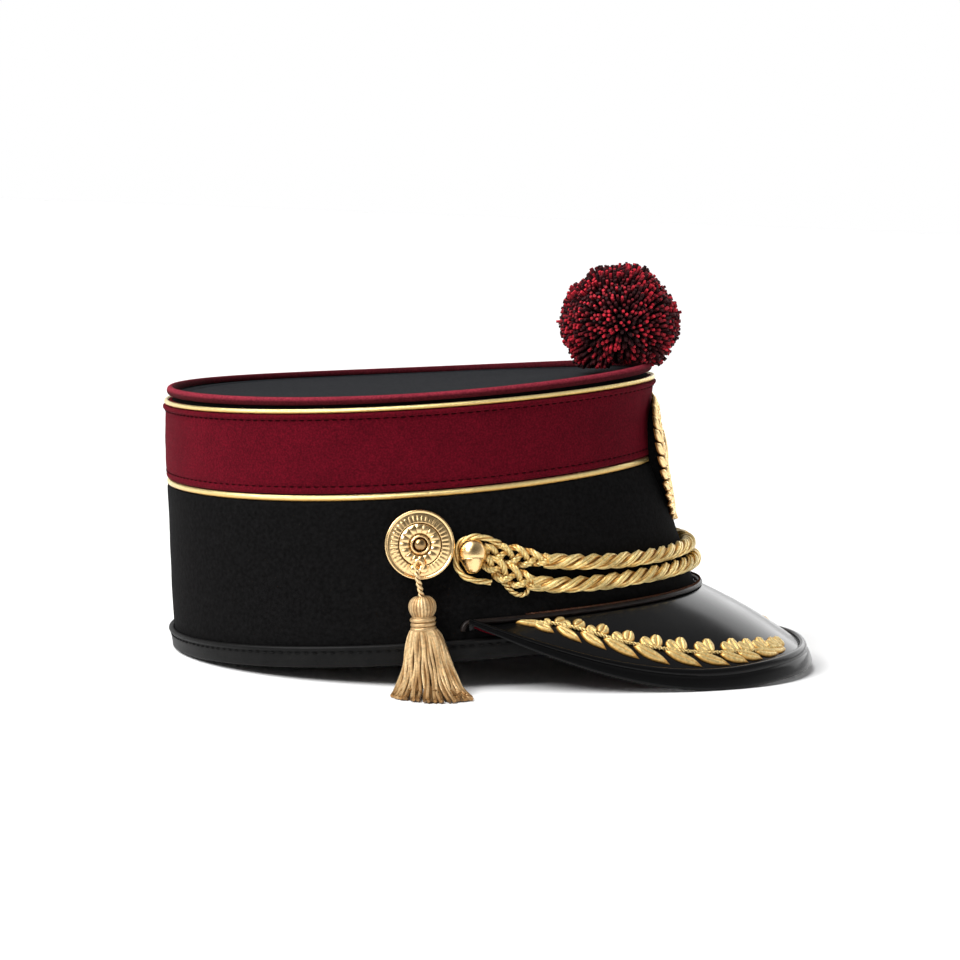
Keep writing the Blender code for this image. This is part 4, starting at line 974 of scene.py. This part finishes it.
def make_boss():
    """The badge's plain middle: a ring with a low dome in it, on a short leg."""
    face = float(badge_surface(0.0, BADGE_MIDDLE, -0.7)[0] - wall(0.0, BADGE_MIDDLE)[0])
    up = wall(0.0, BADGE_MIDDLE + 1.0) - wall(0.0, BADGE_MIDDLE - 1.0)
    profile = [(0.05, 0.3), (2.0, 0.3)]
    profile += [(radius, face + rise) for radius, rise in (
        (2.0, -1.7), (8.0, -1.7), (8.2, -1.2), (8.2, -0.5), (7.9, -0.1), (7.4, 0.0), (6.9, -0.1),
        (6.7, -0.5), (6.4, -0.4))]
    profile += [(6.2 * math.cos(a), face - 0.5 + 1.2 * math.sin(a)) for a in np.linspace(0.15, 1.54, 12)]
    shape = Shape()
    turned(shape, profile, wall(0.0, BADGE_MIDDLE), np.cross(LEFT, up), LEFT, 72)
    shape.make("boss", GILT, ["badge_centre"])


make_badge()
make_badge_pad()
make_boss()


# Cords, plaits, slides and strands

# Height at the front, rise at the knot and the power of the curve between them
UPPER_ROUTE = (30.2, 10.0, 2.4)
LOWER_ROUTE = (23.8, 12.0, 5.5)
KNOT_START = 22.0
ROPE_RADIUS, ROPE_OFFSET = 3.2, 3.35
PLAIT_START, PLAIT_OFFSET, PLAIT_PITCH = 20.5, 3.2, 19.0
PLAIT_STRAND_RADIUS, PLAIT_STRAND_PITCH = 1.28, 9.0
# Places along the small loop under the lower plait: x, and height over the cord's route
HANGING_LOOP = ((25.0, -0.5), (27.2, -4.2), (31.0, -6.4), (34.8, -5.4), (37.0, -1.6))


def cord_height(x, route):
    """Height of a cord on the wall: level at the front, and rising towards its knot."""
    front, lift, curve = route
    length, _, shift, _ = section(front)
    reach = length + shift
    return front + lift * (np.maximum(reach - x, 0.0) / (reach - KNOT_START)) ** curve


def make_rope(name, node, route, end_x):
    """A rope of three strands of five plies round the front of the hat."""
    end = float(wall_angle(end_x, cord_height(end_x, route), ROPE_OFFSET))
    angle = np.linspace(-end, end, 900)
    height = cord_height(wall(angle, route[0], ROPE_OFFSET)[:, 0], route)
    path = wall(angle, height, ROPE_OFFSET)
    path[:, 2] = height
    path = resample(path, 380)
    shape = Shape()
    twisted(shape, path, path * FLAT, ROPE_RADIUS, -23.0, strands=3, plies=5, ply_pitch=60.0, sides=6)
    shape.make(name, GOLD, [node])


def make_plait(level, route, end_x, phase, side, side_name, hanging_loop=()):
    """An open three-strand plait that carries the cord on to the slide."""
    x = np.linspace(PLAIT_START, end_x, 145)
    height = cord_height(x, route)
    centre = side_point(x, height, PLAIT_OFFSET, side)
    way, out, _ = directions(centre, side_point(x, height, PLAIT_OFFSET + 5.8, side) - centre)
    up = unit(np.cross(out, way)) * side
    share = np.linspace(0.0, 1.0, len(x))
    spread = 0.9 + 2.35 * np.sin(math.pi * np.clip(share * 1.08 + 0.06, 0, 1)) ** 0.8

    # Painted shade: the strands are painted darker the deeper they lie, towards the wall.
    def tone(points):
        depth = ((points - centre[:, None]) * out[:, None]).sum(-1)
        return np.clip(0.45 + depth / 2.4, 0.0, 1.0)
    shape = Shape()
    for index in range(3):
        turn = phase + TAU * (index / 3 - arc(centre) / PLAIT_PITCH)
        strand = centre + (spread * np.sin(turn))[:, None] * up + (1.25 * np.sin(2 * turn))[:, None] * out
        ply_up(shape, strand, out, PLAIT_STRAND_RADIUS, PLAIT_STRAND_PITCH, 4, 6, tone)
    if hanging_loop:
        spots = [side_place(ahead, cord_height(ahead, route) + rise, 2.0, side)
                 for ahead, rise in hanging_loop]
        twisted(shape, smooth_path(spots, 90), (0.0, side, 0.0), 1.05, -4.4, strands=2, sides=8)
    shape.make(f"{level}_plait_{side_name}", GOLD, [f"{level}_knot_{side_name}"])


# Places along the thin strand round a slide: ahead of the slide's middle, above its foot and outwards
STRAND_ROUTE = ((10.4, 9.9, 2.6), (6.6, 12.2, 4.4), (1.6, 13.5, 4.6), (-3.2, 12.2, 2.8), (-5.9, 8.8, 0.6),
                (-5.9, 2.4, 0.4), (-3.0, -1.3, 1.8), (1.4, -3.0, 2.2), (6.4, -4.0, 1.8))
SLIDE_X, SLIDE_FOOT = 16.0, 32.6
SLIDE_RADIUS, SLIDE_LENGTH = 5.1, 12.8


def make_strand(side, side_name):
    """The thin strand that loops round a slide."""
    spots = [side_place(SLIDE_X + ahead, SLIDE_FOOT + up, 1.4 + out, side)
             for ahead, up, out in STRAND_ROUTE]
    shape = Shape()
    twisted(shape, smooth_path(spots, 120), (0.0, side, 0.0), 1.25, -15.0, strands=3, sides=8)
    shape.make(f"slide_cord_{side_name}", GOLD, [f"slide_strand_{side_name}"])


def make_slide(side, side_name):
    """An acorn in its cup, from shares of its radius and length."""
    foot, head = (side_place(SLIDE_X, SLIDE_FOOT + rise, 5.15, side) for rise in (0.0, 12.2))
    shares = ((0.02, 0.0), (0.34, 0.01), (0.46, 0.05), (0.58, 0.14), (0.70, 0.24), (0.82, 0.33),
              (0.93, 0.395), (0.99, 0.42), (0.965, 0.44), (0.985, 0.46), (1.02, 0.50), (1.03, 0.56),
              (1.01, 0.64), (0.96, 0.73), (0.88, 0.81), (0.76, 0.89), (0.60, 0.95), (0.40, 0.985),
              (0.20, 0.998), (0.02, 1.0))
    profile = [(radius * SLIDE_RADIUS, height * SLIDE_LENGTH) for radius, height in shares]
    shape = Shape()
    turned(shape, profile, foot, head - foot, FORWARD, 48)
    shape.make(f"slide_{side_name}", GILT, [f"cord_slide_{side_name}"])


make_rope("upper_rope", "upper_cord", UPPER_ROUTE, 43.3)
make_rope("lower_rope", "lower_cord", LOWER_ROUTE, 37.3)


# Buttons

BUTTON_X, BUTTON_HEIGHT, BUTTON_RADIUS = -3.9, 43.8, 13.05


def side_frame(x, height, side):
    """The outward and the forward direction on the side of the wall."""
    ends = [side_place(x + step, height, 0.0, side) for step in (-1.0, 1.0)]
    rows = [wall(side * wall_angle(x, height + step), height + step) for step in (-1.0, 1.0)]
    ahead = unit(ends[1] - ends[0])
    return unit(np.cross(ahead, rows[1] - rows[0]) * -side), ahead


def button_relief(radius, angle):
    """Flutes round the rim, petals inside them, both plain generic ornament. The tone paints shade in their
    valleys and along the grooves, and paints the small middle dome dark as a painted reflection.
    """
    share = radius / BUTTON_RADIUS
    flutes = np.abs(np.cos(20 * angle)) ** 0.6
    petals = np.abs(np.cos(8 * angle)) ** 0.5
    outer = math.exp(-((share - 0.745) / 0.095) ** 4)
    inner = math.exp(-((share - 0.445) / 0.125) ** 4)
    rise = 0.42 * outer * (flutes - 0.5) + 0.45 * inner * (petals - 0.5)
    # Painted shade in the valleys of the flutes and petals; the lines below paint shade along the grooves
    # and a dark painted reflection on the middle dome.
    tone = 0.72 - 0.55 * outer * (1 - flutes) - 0.6 * inner * (1 - petals)
    for groove, width in ((0.615, 0.018), (0.895, 0.014), (0.305, 0.02), (0.19, 0.015)):
        tone = tone - 0.6 * math.exp(-((share - groove) / width) ** 2)
    tone = tone - 0.42 * (share < 0.185)
    return rise, tone


def make_button(side, side_name):
    """A button: a beaded rim, a leaning fluted ring, a mound of petals and a small dome in a ring."""
    back = [(0.05, 0.3), (3.0, 0.3), (3.0, 3.2), (12.2, 3.2), (13.0, 3.7), (13.05, 4.6)]
    front = [(13.05, 5.1), (12.9, 5.45), (12.6, 5.6), (12.25, 5.5), (12.0, 5.2), (11.75, 5.15), (11.5, 5.4)]
    front += [(radius, 5.35 + (11.4 - radius) * 0.24) for radius in np.linspace(11.3, 8.35, 14)]
    front += [(8.2, 5.9), (8.0, 5.65), (7.8, 5.9)]
    front += [(radius, 6.05 + 0.42 * math.sin((7.6 - radius) * 0.9))
              for radius in np.linspace(7.6, 4.2, 14)]
    front += [(4.0, 5.9), (3.8, 6.0), (3.6, 6.6), (3.3, 7.0), (2.95, 7.0), (2.65, 6.5), (2.5, 6.1),
              (2.35, 6.2)]
    front += [(2.3 * math.cos(a), 6.3 + 1.7 * math.sin(a)) for a in np.linspace(0.1, 1.54, 9)]
    outward, ahead = side_frame(BUTTON_X, BUTTON_HEIGHT, side)
    place = wall(side * float(wall_angle(BUTTON_X, BUTTON_HEIGHT)), BUTTON_HEIGHT)
    shape = Shape()
    turned(shape, back + front, place, outward, ahead, 200, button_relief)
    shape.make(f"button_{side_name}", GILT, [f"side_button_{side_name}"], sharp=70.0)


for SIDE, SIDE_NAME in ((-1, "right"), (1, "left")):
    make_spray(SIDE, SIDE_NAME)
    make_plait("upper", UPPER_ROUTE, 45.5, 0.4, SIDE, SIDE_NAME)
    make_plait("lower", LOWER_ROUTE, 40.5, 2.0, SIDE, SIDE_NAME, HANGING_LOOP)
    make_strand(SIDE, SIDE_NAME)
    make_slide(SIDE, SIDE_NAME)
    make_button(SIDE, SIDE_NAME)


# Tassel

TASSEL_X = -3.4
TASSEL_TOP = 26.0
TASSEL_Y = side_place(TASSEL_X, BUTTON_HEIGHT - 0.72 * BUTTON_RADIUS, 7.8, -1)[1]
# Reach, number of threads and range of tones of each layer of the skirt; the inner layers' darker tones are
# painted shade
SKIRT_LAYERS = ((1.0, 44, (0.55, 1.0)), (0.80, 32, (0.1, 0.5)), (0.52, 18, (0.0, 0.25)))
BAIL_HEIGHT = BUTTON_HEIGHT - 0.60 * BUTTON_RADIUS
TABLE_SLOPE = math.tan(REST_TILT)


def table_height(x):
    """Height of the table in the hat's own frame, below the point x."""
    return -(x + FOOT_LENGTH / 2) * TABLE_SLOPE


def make_tassel_cord():
    """The short cord, and the small gilt bow and ring that hold it on the button."""
    cord = Shape()
    spots = ((BUTTON_X - 0.9, TASSEL_Y + 0.9, BAIL_HEIGHT),
             (BUTTON_X - 0.8, TASSEL_Y - 0.9, BAIL_HEIGHT - 1.6),
             (BUTTON_X - 0.3, TASSEL_Y - 0.6, BAIL_HEIGHT - 5.0),
             (TASSEL_X, TASSEL_Y, TASSEL_TOP - 0.6))
    twisted(cord, smooth_path(spots, 90), FORWARD, 1.15, -4.2, strands=2, sides=8)
    cord.make("tassel_loop", TASSEL_GOLD, ["tassel_cord"])
    bail = Shape()
    outward, ahead = side_frame(BUTTON_X, BUTTON_HEIGHT, -1)
    lobe = [(1.75 * math.cos(a), 0.9 * math.sin(a)) for a in np.linspace(-1.4, 1.5, 14)]
    for lean in (-1.7, 1.7):
        turned(bail, lobe, (BUTTON_X + lean, TASSEL_Y - 0.1, BAIL_HEIGHT + 0.1), outward, ahead, 24)
    angle = round_angles(40)
    loop = xyz(BUTTON_X + 1.6 * np.cos(angle), TASSEL_Y - 0.4, BAIL_HEIGHT + 1.5 + 1.9 * np.sin(angle))
    bail.tube(loop, 0.7, 10, loop - loop.mean(axis=0), closed=True, tone=0.7)
    bail.make("tassel_bail", GILT)


def make_tassel_head():
    """A ball of upright threads, with valleys between them painted dark as shade."""
    head = Shape()
    centre = np.array((TASSEL_X, TASSEL_Y, TASSEL_TOP - 4.0))
    profile = [(0.1, -4.1), (2.6, -4.1), (4.0, -3.9), (4.7, -3.2), (5.2, -2.2), (5.55, -1.0), (5.6, 0.2),
               (5.4, 1.4), (4.9, 2.5), (4.1, 3.4), (3.1, 4.0), (2.1, 4.15), (1.2, 3.8), (0.6, 3.0),
               (0.1, 2.2)]
    spots = fine(profile, 0.7)
    steps, ribs = 240, 24
    angle = round_angles(steps)
    valley = np.abs(np.cos(ribs / 2 * angle)) ** 0.35 * (0.8 + 0.2 * np.cos(5 * angle + 1.0))
    # Painted shade: the tone is darkest in the valleys between the ribs.
    turned(head, spots, centre, UP, FORWARD, steps, lambda radius, angle: (0.0, 0.10 + 0.85 * valley))
    ball = head.points[0].reshape(len(spots), -1, 3)
    swell = 0.93 * (1 + 0.045 * (valley - 0.7)[None, :, None] * FLAT)
    ball[:] = centre + (ball - centre) * swell
    head.make("tassel_ball", TASSEL_GOLD, ["tassel_head"], sharp=80.0)


def make_tassel_collar():
    """Three wraps of cord round a core."""
    collar = Shape()
    turned(collar, [(0.1, -5.2), (4.0, -5.2), (4.0, 0.6), (0.1, 0.6)],
           (TASSEL_X, TASSEL_Y, TASSEL_TOP - 8.0), UP, FORWARD, 32)
    turn = round_angles(72)
    for drop, reach in ((8.75, 4.0), (10.5, 3.85), (12.2, 4.0)):
        hoop = xyz(reach * np.cos(turn), reach * np.sin(turn), 0.15 * np.cos(turn))
        place = np.array((TASSEL_X, TASSEL_Y, TASSEL_TOP - drop))
        collar.tube(hoop + place, 0.9, 12, hoop * FLAT, closed=True, tone=0.7)
    collar.make("tassel_wraps", TASSEL_GOLD, ["tassel_collar"])


def make_tassel_skirt():
    """Three layers of loose threads that spread down to the table, the outer ones bright and the inner ones
    painted darker as shade.
    """
    skirt = Shape()
    start_height = TASSEL_TOP - 12.4
    share = np.linspace(0.0, 1.0, 32)
    spread = 0.62 * share ** 0.55 + 0.38 * share ** 4
    for layer, count, tones in SKIRT_LAYERS:
        for index in range(count):
            turn = TAU * (index + 0.3 * RNG.random()) / count
            ahead, out = layer * math.cos(turn), layer * math.sin(turn)
            foot_x = TASSEL_X + 2.4 + 14.4 * ahead + RNG.uniform(-0.5, 0.5)
            reach = 21.5 + 5.5 * (1 - ahead ** 2) + 4.0 * out + RNG.uniform(-1.0, 1.0)
            rest = table_height(foot_x) + 0.75 + abs(out) * (2.4 if out < 0 else 0.2)
            wave = RNG.uniform(0.0, TAU, 2)
            x = blend((TASSEL_X + 4.1 * ahead, foot_x), spread)
            x = x + 0.42 * np.sin(TAU * share * 1.6 + wave[0]) * share ** 0.7
            y = TASSEL_Y - blend((4.0 * out, reach), 0.35 * share + 0.65 * share ** 2.6)
            z = blend((start_height, rest), 1.12 * share - 0.12 * share ** 6)
            path = resample(xyz(x, y, np.maximum(z, table_height(x) + 0.68)), 32)
            # Painted shade on the inner layers through their lower tones; every thread is also darker
            # towards its end.
            tone = blend(tones, RNG.random()) + 0.12 * np.sin(TAU * share * 2 + wave[1])
            tone = tone * (1 - 0.45 * share ** 8)
            skirt.tube(path, 0.50 + 0.12 * share, 7, FORWARD, tone=np.clip(tone, 0, 1))
    skirt.make("tassel_threads", TASSEL_GOLD, ["tassel_skirt"])


make_tassel_cord()
make_tassel_head()
make_tassel_collar()
make_tassel_skirt()


# Pompom

ROLL_TOP = wall(0.0, BODY_HEIGHT)[2]
POMPOM_CENTRE = np.array((77.9, 0.0, ROLL_TOP + 15.1))
POMPOM_RADIUS, CORE_RADIUS = 23.9, 14.5
TUFTS = 1800
TUFT_RADII = np.array((0.30, 0.40, 0.52, 0.66, 0.76, 0.58))


def pompom_floor(x):
    """The lowest that a tuft's tip goes: over the crown, on the roll, or down in front of it."""
    if x < 72:
        return crown_height(x) + 2.8
    return ROLL_TOP + (0.6 if x <= 90.8 else -1.4)


def make_pompom():
    """Cut tufts evenly spread over a ball, each with its own length, lean, thickness and brightness."""
    order = np.arange(TUFTS) + 0.5
    polar = np.arccos(1 - 2 * order / TUFTS)
    turn = order * math.pi * (3 - math.sqrt(5))
    ways = xyz(np.sin(polar) * np.cos(turn), np.sin(polar) * np.sin(turn), np.cos(polar))
    drift = np.stack([sum(np.sin(ways @ wave * 3.1 + shift)
                          for wave, shift in zip(RNG.normal(size=(5, 3)) * 2.0, RNG.uniform(0, TAU, 5)))
                      for _ in range(3)], -1)
    shape = Shape()
    share = np.linspace(0.0, 1.0, len(TUFT_RADII))
    for way, lean in zip(ways, drift):
        bend = lean * 0.45 + RNG.normal(size=3) * 0.40
        tip = POMPOM_CENTRE + way * POMPOM_RADIUS * (1 + RNG.uniform(-0.035, 0.004)) + bend
        floor = pompom_floor(tip[0])
        if tip[2] < floor:
            inward = POMPOM_CENTRE - tip
            tip = tip + inward * min((floor - tip[2]) / max(inward[2], 1e-3), 0.6)
        base = POMPOM_CENTRE + way * POMPOM_RADIUS * 0.5
        path = base + (tip - base) * share[:, None] + bend * (share * (share - 1) * 0.8)[:, None]
        size = TUFT_RADII * RNG.uniform(0.85, 1.12)
        bright = 0.10 + 0.90 * RNG.random() ** 1.2
        # Painted shade: each tuft's tone falls towards its root, inside the ball; its brightness differs at
        # random.
        shape.tube(path, size, 6, UP if abs(way[2]) < 0.9 else FORWARD, tone=share ** 3.2 * bright)
    shape.make("pompom_yarn", YARN, ["pompom"], sharp=60.0)
    # A black core (tone 0): a dark ball put inside as painted shade between the tufts.
    core = Shape()
    profile = [(CORE_RADIUS * math.cos(a), CORE_RADIUS * math.sin(a)) for a in np.linspace(-1.55, 1.55, 24)]
    turned(core, profile, POMPOM_CENTRE, UP, FORWARD, 40, lambda radius, angle: (0.0, 0.0))
    core.make("pompom_shade_core", YARN)


make_pompom()


# Stage, light and camera

def make_stage():
    mesh = bpy.data.meshes.new("floor")
    half = 12.0
    corners = [(-half, -half, 0), (half, -half, 0), (half, half, 0), (-half, half, 0)]
    mesh.from_pydata(corners, [], [(0, 1, 2, 3)])
    floor = bpy.data.objects.new("floor", mesh)
    bpy.context.scene.collection.objects.link(floor)
    nodes = Nodes("floor_white", (0.93, 0.93, 0.93), 0.8, specular_ior_level=0.1)
    mesh.materials.append(nodes.material)


def aim(lamp, place, target):
    """Put a lamp at a place in metres, and point it at another."""
    way = unit(np.subtract(target, place))
    side = unit(np.cross(way, UP))
    up = np.cross(side, way)
    lamp.matrix_world = Matrix.Translation(place) @ Matrix(np.stack((side, up, -way), -1).tolist()).to_4x4()
    bpy.context.scene.collection.objects.link(lamp)


def add_softbox(name, place, size, power):
    light = bpy.data.lights.new(name, "AREA")
    light.shape = "RECTANGLE"
    light.size, light.size_y = size
    light.energy = power
    aim(bpy.data.objects.new(name, light), place, (0.0, 0.0, 0.06))


def light_scene():
    """A broad overhead light, two softboxes, and a grey room with a white horizon, dimmer in front."""
    sky = bpy.data.lights.new("overhead", "SUN")
    sky.energy = 3.2
    sky.angle = math.radians(50.0)
    aim(bpy.data.objects.new("overhead", sky), (-1.1, -0.5, 2.0), (0.0, 0.0, 0.0))
    add_softbox("key", (-1.1, -1.1, 1.15), (0.6, 0.5), 16.0)
    add_softbox("rim", (0.9, 1.3, 0.66), (1.5, 0.9), 6.0)
    world = bpy.data.worlds.new("studio")
    world.use_nodes = True
    tree = world.node_tree
    background = tree.nodes["Background"]
    place, split, ramp, dim = (tree.nodes.new(f"ShaderNode{kind}")
                               for kind in ("TexCoord", "SeparateXYZ", "ValToRGB", "MapRange"))
    ramp.color_ramp.interpolation = "EASE"
    for element, spot, grey in zip(ramp.color_ramp.elements, (0.07, 0.60), (1.0, 0.28)):
        element.position = spot
        element.color = (grey, grey, grey, 1.0)
    dim.interpolation_type = "SMOOTHSTEP"
    for socket, value in zip(dim.inputs[1:5], (-0.9, 0.1, 0.35, 1.0)):
        socket.default_value = value
    for output, socket in (
            (place.outputs["Generated"], split.inputs["Vector"]),
            (split.outputs["Z"], ramp.inputs["Fac"]),
            (ramp.outputs["Color"], background.inputs["Color"]),
            (split.outputs["Y"], dim.inputs["Value"]),
            (dim.outputs["Result"], background.inputs["Strength"])):
        tree.links.new(output, socket)
    bpy.context.scene.world = world
    bpy.context.scene.view_settings.view_transform = "Standard"


def place_camera():
    """The photograph's view."""
    lens = bpy.data.cameras.new("camera")
    lens.lens, lens.sensor_width = 112.5, 36.0
    camera = bpy.data.objects.new("camera", lens)
    camera.location = (-0.005327, -1.178242, 0.191287)
    camera.rotation_euler = [math.radians(angle) for angle in (84.16365, -2.14308, 0.16015)]
    bpy.context.scene.collection.objects.link(camera)
    bpy.context.scene.camera = camera


make_stage()
light_scene()
place_camera()
